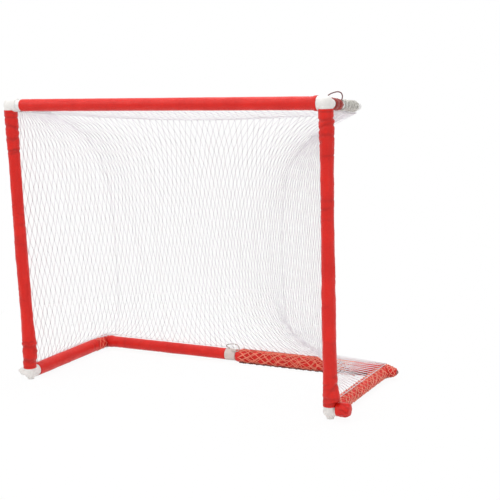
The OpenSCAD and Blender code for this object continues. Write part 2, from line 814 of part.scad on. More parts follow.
post_sleeve(1);  // right_post_sleeve
side_sleeve(-1);  // left_side_sleeve
side_sleeve(1);  // right_side_sleeve
left_back_sleeve();
right_back_sleeve();
rear_cover(-1);  // rear_left_cover
rear_cover(1);  // rear_right_cover
right_foot_boot();
arm_collar(-1);  // left_arm_collar
arm_collar(1);  // right_arm_collar
back_net();
side_net(-1);  // left_net
side_net(1);  // right_net
top_net();
right_side_net_wrap();
right_back_net_wrap();
arm_lacing(-1);  // left_arm_lacing
arm_lacing(1);  // right_arm_lacing
base_elastic();
upper_elastic();
left_arm_elastic();
right_arm_elastic();
coupling_loop();
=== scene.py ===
import math
import random

import bmesh
import bpy
from mathutils import Matrix, Vector, noise


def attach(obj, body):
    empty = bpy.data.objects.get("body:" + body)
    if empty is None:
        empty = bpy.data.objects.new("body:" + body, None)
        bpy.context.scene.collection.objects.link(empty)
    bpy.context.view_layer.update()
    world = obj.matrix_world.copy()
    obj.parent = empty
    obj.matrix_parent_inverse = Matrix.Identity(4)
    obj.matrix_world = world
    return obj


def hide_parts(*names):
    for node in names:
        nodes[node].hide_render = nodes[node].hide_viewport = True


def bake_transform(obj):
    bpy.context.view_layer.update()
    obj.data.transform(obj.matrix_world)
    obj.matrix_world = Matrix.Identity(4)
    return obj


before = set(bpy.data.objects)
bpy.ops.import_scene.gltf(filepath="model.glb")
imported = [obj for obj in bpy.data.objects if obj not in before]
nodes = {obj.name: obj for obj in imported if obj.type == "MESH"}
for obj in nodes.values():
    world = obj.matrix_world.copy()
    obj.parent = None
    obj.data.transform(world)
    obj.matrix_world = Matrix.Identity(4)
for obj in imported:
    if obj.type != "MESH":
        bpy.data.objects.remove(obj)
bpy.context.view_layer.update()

# the frame's main sizes, in metres
goal = {
    "postSpan": 1.320,
    "barRise": 1.066,
    "baseDepth": 0.533,
    "armReach": 0.282,
    "armDroop": 5.5,
    "shift": (-0.009, -0.2673, 0.0285),  # from the post plane's own frame to the row frame
    "railRadius": 0.0235,
    "coverRadius": 0.02615,
    "socketRadius": 0.02475,
    "outletRadius": 0.017,
    "couplingX": -0.019,
    "couplingHalf": 0.0235,
}
half = goal["postSpan"] / 2
rise, depth = goal["barRise"], goal["baseDepth"]
shift = Vector(goal["shift"])
droop = math.radians(goal["armDroop"])
bothSides = ((-1, "left"), (1, "right"))
white = (1, 1, 1, 1)


def place(x, y, z):
    return Vector((x, y, z)) + shift


def armPoint(side, along, up=0.0, out=0.0):
    # a point beside an arm: along its axis from the top corner, up square to it, and outboard
    y = along * math.cos(droop) + up * math.sin(droop)
    z = rise - along * math.sin(droop) + up * math.cos(droop)
    return place(side * (half + out), y, z)


def addToScene(name, data):
    obj = bpy.data.objects.new(name, data)
    bpy.context.scene.collection.objects.link(obj)
    return obj


camera = {
    "place": (2.14669, -3.69508, 1.26804),
    "turns": (("Z", 27.71564), ("X", -12.57962), ("Y", 1.75639)),  # yaw, pitch and roll
    "lens": 80.083,
    "shiftY": 0.10,
}


def makeCamera():
    turn = Matrix.Identity(3)
    for axis, degrees in camera["turns"]:
        turn = turn @ Matrix.Rotation(math.radians(degrees), 3, axis)
    basis = Matrix((turn.col[0], turn.col[2], -turn.col[1])).transposed().to_4x4()
    data = bpy.data.cameras.new("camera")
    data.sensor_width = 36
    data.lens = camera["lens"]
    data.shift_y = camera["shiftY"]
    data.clip_start, data.clip_end = 0.05, 60
    cam = addToScene("camera", data)
    cam.matrix_world = Matrix.Translation(camera["place"]) @ basis
    bpy.context.scene.camera = cam


makeCamera()
print("camera placed")


def feed(tree, socket, value):
    # sets an input, or links an output to it
    if isinstance(value, bpy.types.NodeSocket):
        tree.links.new(value, socket)
    else:
        socket.default_value = value


def addNode(tree, kind, *inputs, **values):
    # a node with its settings and inputs by name, and then its first inputs in order
    node = tree.nodes.new(kind)
    for key, value in values.items():
        if hasattr(node, key):
            setattr(node, key, value)
        else:
            feed(tree, node.inputs[key.replace("_", " ")], value)
    for socket, value in zip(node.inputs, inputs):
        feed(tree, socket, value)
    return node


def calc(tree, operation, *values):
    return addNode(tree, "ShaderNodeMath", *values, operation=operation).outputs[0]


def spread(tree, value, fromMin, fromMax, toMin, toMax):
    return addNode(tree, "ShaderNodeMapRange", Value=value, From_Min=fromMin, From_Max=fromMax,
                   To_Min=toMin, To_Max=toMax).outputs[0]


def plainShare(tree):
    # 1 for what the camera sees, also in a gloss or through glass
    path = addNode(tree, "ShaderNodeLightPath")
    seen = calc(tree, "MAXIMUM", path.outputs["Is Camera Ray"], path.outputs["Is Glossy Ray"])
    return calc(tree, "MAXIMUM", seen, path.outputs["Is Transmission Ray"])


def mixShaders(tree, share, first, second, outKind):
    mix = addNode(tree, "ShaderNodeMixShader", share, first.outputs[0], second.outputs[0])
    addNode(tree, outKind, mix.outputs[0])


def emptyTree(owner):
    owner.use_nodes = True
    owner.node_tree.nodes.clear()
    return owner.node_tree


def addMaterial(name):
    mat = bpy.data.materials.new(name)
    return mat, emptyTree(mat)


light = {
    # each lamp's power, place and size
    "key": (100.0, (-2.4, -3.2, 4.2), 3.5),
    "fill": (46.0, (3.8, -2.6, 2.6), 3.5),
    "top": (112.0, (0.2, 0.9, 4.6), 3.0),
    "aim": (0, 0, 0.5),
    "skyStrength": 0.42,
}


def makeLights():
    for name in ("key", "fill", "top"):
        data = bpy.data.lights.new(name, "AREA")
        data.energy, where, data.size = light[name]
        lamp = addToScene(name, data)
        lamp.location = where
        lamp.rotation_mode = "QUATERNION"
        aim = Vector(light["aim"]) - lamp.location
        lamp.rotation_quaternion = aim.to_track_quat("-Z", "Y")
    world = bpy.data.worlds.new("studio")
    tree = emptyTree(world)
    plain = addNode(tree, "ShaderNodeBackground", Color=white, Strength=1.0)
    dim = addNode(tree, "ShaderNodeBackground", Color=white, Strength=light["skyStrength"])
    mixShaders(tree, plainShare(tree), dim, plain, "ShaderNodeOutputWorld")
    bpy.context.scene.world = world
    bpy.context.scene.view_settings.view_transform = "Standard"


ground = {
    "reach": 12.0,
    "height": -0.0006,
    "glow": (0.7, 1.7, 0.93, 1.0),  # distances from the middle, and the share of plain white there
}


def makeFloor():
    mesh = bpy.data.meshes.new("floor")
    s, z = ground["reach"], ground["height"]
    mesh.from_pydata([(-s, -s, z), (s, -s, z), (s, s, z), (-s, s, z)], [], [(0, 1, 2, 3)])
    floor = addToScene("floor", mesh)
    mat, tree = addMaterial("floorPaint")
    # close to the goal the paint shows its shadow, and further out the floor is plain white
    at = addNode(tree, "ShaderNodeTexCoord").outputs["Object"]
    away = addNode(tree, "ShaderNodeVectorMath", at, operation="LENGTH").outputs["Value"]
    share = calc(tree, "MULTIPLY", plainShare(tree), spread(tree, away, *ground["glow"]))
    paper = addNode(tree, "ShaderNodeBsdfPrincipled", Base_Color=(0.95, 0.95, 0.95, 1),
                    Roughness=0.85)
    glow = addNode(tree, "ShaderNodeEmission", Color=white, Strength=1.0)
    mixShaders(tree, share, paper, glow, "ShaderNodeOutputMaterial")
    mesh.materials.append(mat)


makeLights()
makeFloor()
print("floor and light made")


def newGroup(family, name, inputs, outputs):
    group = bpy.data.node_groups.new(name, family + "NodeTree")
    for way, sockets in (("INPUT", inputs), ("OUTPUT", outputs)):
        for label, kind in sockets:
            group.interface.new_socket(name=label, in_out=way, socket_type="NodeSocket" + kind)
    given = group.nodes.new("NodeGroupInput").outputs
    return group, given, group.nodes.new("NodeGroupOutput").inputs


def mixColour(tree, share, a, b):
    node = addNode(tree, "ShaderNodeMix", share, data_type="RGBA")
    feed(tree, node.inputs[6], a)
    feed(tree, node.inputs[7], b)
    return node.outputs[2]


def objectPlace(tree):
    return addNode(tree, "ShaderNodeTexCoord").outputs["Object"]


def mottleGroup():
    # slow changes of tone over a surface, from two sizes of noise
    group, given, result = newGroup(
        "Shader", "mottle",
        [("Colour", "Color"), ("Other Colour", "Color"), ("Size", "Float"), ("Amount", "Float")],
        [("Colour", "Color"), ("Value", "Float")])
    at = objectPlace(group)
    broad = addNode(group, "ShaderNodeTexNoise", Vector=at, Detail=3, Scale=given["Size"])
    fine = addNode(group, "ShaderNodeTexNoise", Vector=at, Detail=2,
                   Scale=calc(group, "MULTIPLY", given["Size"], 9.0))
    both = calc(group, "ADD", calc(group, "MULTIPLY", broad.outputs[0], 0.7),
                calc(group, "MULTIPLY", fine.outputs[0], 0.3))
    value = spread(group, both, 0.34, 0.66, 0.0, 1.0)
    share = calc(group, "MULTIPLY", value, given["Amount"])
    feed(group, result["Colour"], mixColour(group, share, given["Colour"], given["Other Colour"]))
    feed(group, result["Value"], value)
    return group


def weaveGroup():
    # a plain weave on the piece's own UV map, where 1 is 1 metre of cloth both ways
    group, given, result = newGroup("Shader", "weave", [("Threads", "Float")],
                                    [("Height", "Float"), ("Gap", "Float")])
    at = addNode(group, "ShaderNodeTexCoord").outputs["UV"]
    split = addNode(group, "ShaderNodeSeparateXYZ", at).outputs
    turn = calc(group, "MULTIPLY", given["Threads"], math.pi)
    across, along = [calc(group, "SINE", calc(group, "MULTIPLY", split[k], turn)) for k in (0, 1)]
    over = calc(group, "MULTIPLY", calc(group, "MULTIPLY", across, along), 0.5)
    feed(group, result["Height"], calc(group, "ADD", over, 0.5))
    lines = calc(group, "MINIMUM", calc(group, "ABSOLUTE", across), calc(group, "ABSOLUTE", along))
    feed(group, result["Gap"], calc(group, "LESS_THAN", lines, 0.16))
    return group


mottle = mottleGroup()
weave = weaveGroup()


def toneNode(tree, colour, shade, size, amount):
    # the mottled colour, and the value that it changes by
    return addNode(tree, "ShaderNodeGroup", node_tree=mottle, Colour=colour + (1,),
                   Other_Colour=shade + (1,), Size=size, Amount=amount).outputs


def dimmed(colour, *shares):
    return tuple(c * s for c, s in zip(colour, shares * 3)) + (1,)


def darkened(tree, mask, amount, colour, shade):
    # the colour, drawn towards the shade where the mask is up
    return mixColour(tree, calc(tree, "MULTIPLY", mask, amount), colour, shade)


def closeMaterial(tree, colour, height, bumpDepth, bumpStrength, **values):
    bump = addNode(tree, "ShaderNodeBump", Distance=bumpDepth, Strength=bumpStrength,
                   Height=height)
    shader = addNode(tree, "ShaderNodeBsdfPrincipled", Base_Color=colour, Normal=bump.outputs[0],
                     **values)
    addNode(tree, "ShaderNodeOutputMaterial", shader.outputs[0])


def makeCloth(name, colour, shade, threads, roughness, sheen, amount):
    mat, tree = addMaterial(name)
    tone = toneNode(tree, colour, shade, 16.0, amount)
    cloth = addNode(tree, "ShaderNodeGroup", node_tree=weave, Threads=threads).outputs
    dark = darkened(tree, cloth["Gap"], 0.30, tone["Colour"], dimmed(shade, 0.5))
    # the cloth darkens along its sewn seam and stitches, and with painted shade in its creases,
    # pleats, folds and on its inner wall
    seamAndShade = addNode(tree, "ShaderNodeAttribute", attribute_name="seamAndShade").outputs["Fac"]
    shaded = darkened(tree, seamAndShade, 0.45, dark, dimmed(shade, 0.45))
    fuzz = addNode(tree, "ShaderNodeTexNoise", Vector=objectPlace(tree), Scale=900.0, Detail=2.0)
    height = calc(tree, "ADD", cloth["Height"], calc(tree, "MULTIPLY", fuzz.outputs[0], 0.5))
    rough = spread(tree, tone["Value"], 0.0, 1.0, roughness - 0.07, roughness + 0.10)
    closeMaterial(tree, shaded, height, 0.0003, 0.6, Roughness=rough, Sheen_Weight=sheen,
                  Sheen_Roughness=0.4, Sheen_Tint=(1.0, 0.75, 0.7, 1), Specular_IOR_Level=0.36)
    return mat


def makePlastic(name, colour, shade, roughness, bumpDepth):
    mat, tree = addMaterial(name)
    tone = toneNode(tree, colour, shade, 22.0, 0.6)
    scuffs = addNode(tree, "ShaderNodeTexNoise", Vector=objectPlace(tree), Scale=260.0, Detail=4.0,
                     Roughness=0.65).outputs[0]
    mark = spread(tree, scuffs, 0.60, 0.74, 0.0, 1.0)
    coloured = darkened(tree, mark, 0.25, tone["Colour"], dimmed(shade, 0.72, 0.70, 0.66))
    rough = spread(tree, tone["Value"], 0.0, 1.0, roughness - 0.06, roughness + 0.14)
    closeMaterial(tree, coloured, scuffs, bumpDepth, 0.5, Roughness=rough, Specular_IOR_Level=0.5)
    return mat


def makeTwine(name, colour, shade, lay, roughness, throughLight):
    # laid twine: fine slanting ridges with a darker line between them
    mat, tree = addMaterial(name)
    tone = toneNode(tree, colour, shade, 9.0, 0.6)
    ridges = addNode(tree, "ShaderNodeTexWave", bands_direction="DIAGONAL",
                     Vector=objectPlace(tree), Scale=lay, Distortion=1.2, Detail=1.0).outputs["Fac"]
    coloured = darkened(tree, ridges, 0.16, tone["Colour"], dimmed(shade, 0.7))
    closeMaterial(tree, coloured, ridges, 0.0004, 0.8, Roughness=roughness,
                  Subsurface_Weight=throughLight, Subsurface_Scale=0.002,
                  Subsurface_Radius=(1.0, 1.0, 1.0), Specular_IOR_Level=0.3)
    return mat


cloths = {
    # colour, shade, threads in a metre, roughness, sheen and amount of mottle
    "redCloth": ((0.80, 0.010, 0.002), (0.58, 0.006, 0.003), 1100.0, 0.40, 0.06, 0.55),
    "darkRedCloth": ((0.52, 0.045, 0.030), (0.20, 0.012, 0.010), 1000.0, 0.55, 0.3, 0.9),
}
plastics = {
    # colour, shade, roughness and depth of the scuffs
    "pipePlastic": ((0.88, 0.88, 0.87), (0.80, 0.80, 0.78), 0.36, 0.00008),
    "fittingPlastic": ((0.90, 0.88, 0.85), (0.74, 0.72, 0.69), 0.38, 0.00012),
    # a dark red-brown plastic for the right rear peg, whose tip shows dark
    "stainedPlastic": ((0.34, 0.13, 0.11), (0.22, 0.09, 0.08), 0.45, 0.00014),
    # the coupling's white plastic painted greyer and pinker: painted shade, and a painted
    # reflection of the red cloth
    "couplingPlastic": ((0.73, 0.63, 0.58), (0.56, 0.50, 0.47), 0.42, 0.00014),
}
twines = {
    # colour, shade, ridges in a metre, roughness and share of light that comes through
    "whiteTwine": ((0.98, 0.94, 1.0), (0.93, 0.87, 0.95), 420.0, 0.72, 0.8),
    "wrapTwine": ((1.0, 0.34, 0.225), (0.95, 0.24, 0.15), 420.0, 0.72, 0.0),
    "sideWrapTwine": ((1.0, 0.42, 0.31), (0.95, 0.30, 0.21), 420.0, 0.72, 0.0),
    "paleWrapTwine": ((1.0, 0.74, 0.68), (0.95, 0.60, 0.54), 420.0, 0.72, 0.0),
    # the right arm's lacing: the same white twine, painted grey-beige as shade
    "gatheredTwine": ((0.90, 0.88, 0.83), (0.62, 0.60, 0.55), 420.0, 0.75, 0.0),
    # the dark cord's colour, painted as the shade under the wound net
    "hemTwine": ((0.17, 0.025, 0.02), (0.07, 0.012, 0.01), 420.0, 0.75, 0.0),
    "darkElastic": ((0.22, 0.060, 0.065), (0.12, 0.030, 0.035), 520.0, 0.60, 0.0),
    "paleElastic": ((0.62, 0.56, 0.52), (0.42, 0.36, 0.33), 520.0, 0.60, 0.0),
}
paint = {}
for maker, table in ((makeCloth, cloths), (makePlastic, plastics), (makeTwine, twines)):
    for paintName, values in table.items():
        paint[paintName] = maker(paintName, *values)
print("materials made")


def addObject(name, points, faces, mat, smooth=True):
    mesh = bpy.data.meshes.new(name)
    mesh.from_pydata([tuple(p) for p in points], [], faces)
    mesh.validate()
    mesh.materials.append(mat)
    if smooth:
        mesh.polygons.foreach_set("use_smooth", [True] * len(mesh.polygons))
    mesh.update()
    return addToScene(name, mesh)


def fixNormals(obj):
    bm = bmesh.new()
    bm.from_mesh(obj.data)
    bmesh.ops.recalc_face_normals(bm, faces=bm.faces)
    bm.to_mesh(obj.data)
    bm.free()


def axes(direction):
    # a direction, and two unit vectors square to it
    d = direction.normalized()
    a = Vector((0, 0, 1)) if abs(d.z) < 0.9 else Vector((1, 0, 0))
    u = (a - d * a.dot(d)).normalized()
    return d, u, d.cross(u)


def angles(sides):
    return [2 * math.pi * i / sides for i in range(sides)]


def aside(p, u, v, r, a):
    # the point r away from p at angle a, between two side vectors
    return p + u * (r * math.cos(a)) + v * (r * math.sin(a))


def wiggle(x, y, z, seed):
    return noise.noise(Vector((x, y, z + 7.31 * seed)))


def wiggleRound(a, k, z, seed):
    # noise that closes on itself round a tube
    return wiggle(math.cos(a) * k, math.sin(a) * k, z, seed)


def finish(obj, body, slotName, *replaced):
    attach(obj, body)
    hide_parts(*replaced)
    return obj


def smoothStep(a, b, x):
    t = min(1.0, max(0.0, (x - a) / (b - a)))
    return t * t * (3 - 2 * t)


def profileAt(profile, t):
    # the value at length t, from a list of (length, value), eased between them
    if t <= profile[0][0]:
        return profile[0][1]
    for (t0, r0), (t1, r1) in zip(profile, profile[1:]):
        if t <= t1:
            return r0 + (r1 - r0) * smoothStep(t0, t1, t)
    return profile[-1][1]


def shellGrid(name, rings, uvRings, seamsAndShade, mat, closedEnd=False):
    # a cloth shell over rings of points, joined from last to first or closed at both ends
    rows, sides = len(rings), len(rings[0])
    points = [p for ring in rings for p in ring]
    faces, faceUv = [], []
    for k in range(rows - 1 if closedEnd else rows):
        m = (k + 1) % rows
        (v0, wide), v1 = uvRings[k], uvRings[m][0]
        for i in range(sides):
            j = (i + 1) % sides
            faces.append([k * sides + i, k * sides + j, m * sides + j, m * sides + i])
            u0, u1 = i / sides * wide, (i + 1) / sides * wide
            faceUv.append([(u0, v0), (u1, v0), (u1, v1), (u0, v1)])
    for k in (0, rows - 1) if closedEnd else ():
        middle = len(points)
        points.append(sum((Vector(p) for p in rings[k]), Vector()) / sides)
        seamsAndShade.append(seamsAndShade[k * sides])
        for i in range(sides):
            a, b = k * sides + i, k * sides + (i + 1) % sides
            faces.append([a, b, middle] if k else [b, a, middle])
            faceUv.append([(i / sides * 0.02, 0), ((i + 1) / sides * 0.02, 0), (0.01, 0.01)])
    obj = addObject(name, points, faces, mat)
    fixNormals(obj)
    layer = obj.data.uv_layers.new(name="cloth")
    layer.data.foreach_set("uv", [c for face in faceUv for uv in face for c in uv])
    # each point's darkening: the sewn seam and its stitches, and painted shade in creases, pleats,
    # folds and on the inner wall
    obj.data.attributes.new("seamAndShade", "FLOAT", "POINT").data.foreach_set("value", seamsAndShade)
    return obj


def twoWalls(rows, sides, at):
    # rings outside and inside, from at(k, a), which gives a point in each and how dark the cloth is
    # there: painted shade, and in a sleeve also its seam and stitch lines
    outer, inner, seamsAndShade = [], [], []
    for k in range(rows + 1):
        made = [at(k, a) for a in angles(sides)]
        outer.append([one[0] for one in made])
        inner.append([one[1] for one in made])
        seamsAndShade += [one[2] for one in made]
    return outer, inner, seamsAndShade


def creaseAt(creases, a, t, seed):
    # how far the creases push the cloth in or out at angle a and length t, and their shade
    push = shade = 0.0
    for at, deep, width, slant, centre, wide in creases:
        line = at + slant * math.cos(a - centre) + 0.004 * wiggleRound(a, 2, at * 50, seed + 5)
        reach = 0.5 + 0.5 * math.cos(a - centre)
        reach = smoothStep(1 - wide, 1 - wide * 0.4, reach) if wide < 1 else 1.0
        q = (t - line) / width
        if abs(q) > 4:
            continue
        fold = math.exp(-q * q)
        lip = math.exp(-((q - 1.7) ** 2)) + math.exp(-((q + 1.7) ** 2))
        push += reach * deep * (0.42 * lip - fold)
        shade += reach * fold * min(1.0, deep / 0.0016) * 0.8
    return push, shade


def randomCreases(rng, ranges):
    # some creases in each (from, to, count, deepest) stretch
    made = []
    for low, high, count, deepest in ranges:
        for _ in range(count):
            made.append((rng.uniform(low, high), rng.uniform(0.35, 1.0) * deepest,
                         rng.uniform(0.003, 0.006), rng.uniform(-0.012, 0.012),
                         rng.uniform(0, 2 * math.pi), rng.uniform(0.45, 1.0)))
    return made


sewing = {
    "around": 44,            # points round a sleeve
    "step": 0.006,           # between its rows of points
    "ridge": (0.0007, 0.0016),    # height and width of the long seam
    "roll": (0.0008, 0.0018),     # depth and length of an end's rounded edge
    "hem": (0.009, 0.0004, 0.0009),  # a hem's stitches: their place, depth and width
    "thinnest": 0.0009,
}


def makeSleeve(name, start, end, profile, bore, core, creases, seed, seamAngle, lumps,
               startEdge=None, endEdge=None, step=sewing["step"], sway=(), swayWay=None,
               flare=None):
    # a sewn cloth tube round a line: profile and bore are its outer and inner radii, core is the
    # least outer radius, the edges say how far an end is cut back at each angle, sway moves the
    # outer cloth sideways at each length, along swayWay, and flare adds to its radius
    d, u, v = axes(end - start)
    swayWay = swayWay or u
    length = (end - start).length
    rows = max(8, int(length / step))
    (ridgeHigh, ridgeWide), (rollDeep, rollLong) = sewing["ridge"], sewing["roll"]
    hemAt, hemDeep, hemWide = sewing["hem"]

    def at(k, a):
        low = startEdge(a) if startEdge else 0.0
        high = length - (endEdge(a) if endEdge else 0.0)
        t = low + (high - low) * k / rows
        base = profileAt(profile, t)
        r = base
        r += lumps * wiggleRound(a, 1.3, t * 22, seed)
        r += 0.6 * lumps * wiggleRound(a, 3.2, t * 70, seed + 3)
        push, shade = creaseAt(creases, a, t, seed)
        r += push
        off = (a - seamAngle + math.pi) % (2 * math.pi) - math.pi
        ridge = math.exp(-(off * base / ridgeWide) ** 2)
        r += ridgeHigh * ridge
        edge = min(t - low, high - t)
        r -= rollDeep * math.exp(-(edge / rollLong) ** 2)
        groove = math.exp(-((edge - hemAt) / hemWide) ** 2)
        r -= hemDeep * groove
        r = max(r, profileAt(core, t))
        hole = min(profileAt(bore, t), r - sewing["thinnest"])
        if flare:
            r += flare(a, t)
        drift = profileAt(sway, t) if sway else 0.0
        # painted shade in the creases, and darker lines on the seam's ridge and the hem's stitches
        return (aside(start + d * t, u, v, r, a) + swayWay * drift,
                aside(start + d * t, u, v, hole, a),
                min(1.0, max(shade, 0.5 * ridge, 0.8 * groove)))

    outer, inner, seamsAndShade = twoWalls(rows, sewing["around"], at)
    uvs = [(length * k / rows, 2 * math.pi * goal["railRadius"]) for k in range(rows + 1)]
    # the inner wall is painted in shade, at 0.3
    return shellGrid(name, outer + inner[::-1], uvs + uvs[::-1], seamsAndShade + [0.3] * len(seamsAndShade),
                     paint["redCloth"])


sleeves = {
    "bore": (0.02508, 0.02125),  # inner radius over a socket, and over a pipe
    "core": (0.02585, 0.0222),   # least outer radius over the same
    "coverStart": 0.02795,
    "bareStart": 0.0371,
    "barBare": 0.056,
    "barCover": 0.02675,
    "cuffEnd": 0.018,
    "slack": 0.100,
    "notch": 0.0254,         # where a post's sleeve makes room for a rail's socket
    "armNotch": 0.0176,      # and for an arm's
    "fill": 0.45,
}
# a post's radii, and how far its cloth hangs to the right, at heights above the sleeve's foot
postRadii = {
    "left": [(0.0, 0.0262), (0.03, 0.0268), (0.066, 0.0290), (0.095, 0.0290), (0.14, 0.0268),
             (0.20, 0.0246), (0.27, 0.0238), (0.46, 0.0245), (0.66, 0.0231), (0.86, 0.0230),
             (0.92, 0.0246), (0.96, 0.0254), (1.01, 0.0256), (1.06, 0.0256)],
    "right": [(0.0, 0.0262), (0.03, 0.0264), (0.10, 0.0256), (0.16, 0.0250), (0.22, 0.0246),
              (0.35, 0.0250), (0.47, 0.0238), (0.65, 0.0229), (0.84, 0.0232), (0.90, 0.0246),
              (0.95, 0.0252), (1.01, 0.0256), (1.06, 0.0256)],
}
postSway = {
    "left": [(0.0, 0.0), (0.022, 0.0), (0.050, 0.0050), (0.11, 0.0050), (0.18, 0.0030),
             (0.30, 0.0022), (0.46, 0.0), (1.03, 0.0)],
    "right": [(0.0, 0.0), (0.022, 0.0), (0.060, 0.0012), (0.30, 0.0), (0.60, 0.0006),
              (0.86, 0.0016), (0.93, 0.0024), (0.985, 0.0022), (1.008, 0.0), (1.03, 0.0)],
}
# its main creases: height, or depth below the top, then depth, width, slant, angle and breadth
postCreases = {
    "left": [(-0.030, 0.0018, 0.0045, 0.004, -1.4, 1.0), (-0.068, 0.0024, 0.006, 0.010, -1.9, 1.0),
             (-0.100, 0.0022, 0.007, -0.012, -0.8, 0.9), (0.088, 0.0030, 0.008, 0.006, -1.2, 1.0),
             (0.040, 0.0016, 0.006, -0.008, -1.9, 0.9)],
    "right": [(-0.036, 0.0030, 0.0045, 0.003, 0.4, 1.0), (-0.062, 0.0026, 0.006, 0.014, -0.6, 1.0),
              (-0.105, 0.0018, 0.006, 0.010, 2.6, 0.8), (0.052, 0.0020, 0.007, 0.030, 0.2, 0.7)],
}
bootFlare = {"reach": 0.0160, "angle": 0.35, "low": (0.018, 0.0205), "high": (0.085, 0.026)}


def overSockets(radii, length, covers, near, far):
    # a sleeve's radius, wide over the sockets that reach into its ends and thin between them:
    # it changes from near to far beyond each socket's reach
    (wide, thin), (first, last) = sleeves[radii], covers
    made = [(0.0, wide if first else thin)]
    if first:
        made += [(first + near, wide), (first + far, thin)]
    if last:
        made += [(length - last - far, thin), (length - last - near, wide)]
    return made + [(length, wide if last else thin)]


def postSleeve(side, word, rng):
    cuff, slack, r = sleeves["cuffEnd"], sleeves["slack"], goal["coverRadius"]
    tall = rise - 2 * cuff

    def notch(radius, across):
        # the height of a round notch's edge above its axis, at this share of r from the axis
        return math.sqrt(max(0.0, radius * radius - (r * across) ** 2))

    def lowEdge(a):
        return max(0.0, notch(sleeves["notch"], math.cos(a)) - cuff) if math.sin(a) > 0 else 0.0

    def topEdge(a):
        cut = 0.0
        if side * math.cos(a) < 0:
            cut = notch(sleeves["notch"], math.sin(a)) - cuff
        if math.sin(a) > 0:
            cut = max(cut, notch(sleeves["armNotch"], math.cos(a)) + r * math.tan(droop) - cuff)
        return max(0.0, cut)

    def overBoot(a, t):
        # the right sleeve's hem rides up over the boot on its outboard side
        if side < 0 or not 0.018 < t < 0.09:
            return 0.0
        toward = max(0.0, math.cos(a + bootFlare["angle"])) ** 3
        return (bootFlare["reach"] * toward * smoothStep(*bootFlare["high"], t)
                * smoothStep(*bootFlare["low"], t))

    bore = overSockets("bore", tall, (slack - cuff, slack), 0.0, 0.009)
    core = overSockets("core", tall, (0.0195, 0.0195), 0.0, 0.0065)
    creases = randomCreases(rng, [(0.02, 0.13, 5, 0.0022), (0.13, 0.80, 10, 0.0011),
                                  (tall - 0.17, tall - 0.08, 4, 0.0022)])
    creases += [(tall + at if at < 0 else at, *rest) for at, *rest in postCreases[word]]
    obj = makeSleeve(word + "PostSleeve", place(side * half, 0, cuff),
                     place(side * half, 0, rise - cuff), postRadii[word], bore, core, creases,
                     2 + side, math.radians(100), 0.0013, lowEdge, topEdge, step=0.0045,
                     sway=postSway[word], flare=overBoot)
    finish(obj, "frame", "red_cloth", word + "_post_sleeve")


def railSleeve(rng, name, node, start, end, profile, covers, ranges, seed, lumps, fill, **hang):
    # a rail's sleeve, which covers a socket over its first and last stretch
    start, end = place(*start), place(*end)
    length = (end - start).length
    creases = randomCreases(rng, ranges)
    bore = overSockets("bore", length, covers, 0.0, 0.008)
    core = overSockets("core", length, covers, 0.001, 0.010)
    obj = makeSleeve(name, start, end, profile, bore, core, creases, seed, math.radians(200),
                     lumps, **hang)
    finish(obj, "frame", "red_cloth", node)


def makeSleeves():
    rng = random.Random(41)
    start, bare, fill = sleeves["coverStart"], sleeves["bareStart"], sleeves["fill"]
    barStart, barEnd, pad = sleeves["barBare"], sleeves["barCover"], goal["railRadius"]
    long = 2 * half - barStart - barEnd
    railSleeve(rng, "crossbarSleeve", "crossbar_sleeve", (-half + barStart, 0, rise),
               (half - barEnd, 0, rise),
               [(0.0, 0.0229), (0.6, 0.0229), (long - 0.02, 0.0230), (long - 0.011, 0.0261),
                (long, 0.0261)], (0, 0.0103),
               [(0.01, 0.06, 2, 0.0008), (1.15, 1.23, 3, 0.0008), (0.1, 1.1, 4, 0.0003)],
               1, 0.0004, 0.7)
    for side, word in bothSides:
        postSleeve(side, word, rng)
    long = depth - start - bare
    railSleeve(rng, "leftSideSleeve", "left_side_sleeve", (-half, bare, 0),
               (-half, depth - start, 0),
               [(0.0, 0.0260), (0.1, 0.0268), (0.3, 0.0264), (long, 0.0262)], (long, 0),
               [(0.01, 0.09, 2, 0.0012), (0.1, 0.4, 4, 0.0012),
                (long - 0.09, long - 0.03, 3, 0.0014)], 6, 0.0008, fill)
    railSleeve(rng, "rightSideSleeve", "right_side_sleeve", (half, bare, 0),
               (half, depth - start, 0),
               [(0.0, pad), (0.02, 0.0247), (long - 0.018, 0.0247), (long - 0.0085, 0.0261),
                (long, 0.0261)], (0, 0.0082), [(0.02, 0.4, 6, 0.0010)], 8, 0.0006, 0.6)
    middle, reach = goal["couplingX"], goal["couplingHalf"]
    railSleeve(rng, "leftBackSleeve", "left_back_sleeve", (-half + start, depth, 0),
               (middle - reach - 0.001, depth, 0),
               [(0.0, 0.0261), (0.0085, 0.0261), (0.02, 0.0238), (0.6, 0.0238)], (0.0082, 0),
               [(0.02, 0.1, 3, 0.0011), (0.1, 0.5, 5, 0.0008)], 12, 0.0008, fill)
    # the right half's cloth is slack, and hangs towards the mouth
    long = half - start - middle - reach - 0.005
    railSleeve(rng, "rightBackSleeve", "right_back_sleeve", (half - start, depth, 0),
               (middle + reach + 0.005, depth, 0),
               [(0.0, 0.0263), (0.0085, 0.0263), (0.02, 0.0258), (0.06, 0.0264), (0.10, 0.0272),
                (long - 0.06, 0.0272), (long, 0.0258)], (0.0082, 0),
               [(0.008, 0.08, 5, 0.0011), (0.1, 0.58, 9, 0.0013)], 14, 0.0009, fill,
               sway=[(0.0, 0.0), (0.02, 0.0), (0.09, 0.0034), (long, 0.0034)],
               swayWay=Vector((0, -0.98, -0.2)))


makeSleeves()
print("sleeves sewn")


def appliedMesh(obj):
    # a plain smooth mesh of the piece with its modifiers
    graph = bpy.context.evaluated_depsgraph_get()
    made = bpy.data.meshes.new_from_object(obj.evaluated_get(graph), depsgraph=graph)
    made.polygons.foreach_set("use_smooth", [True] * len(made.polygons))
    return made


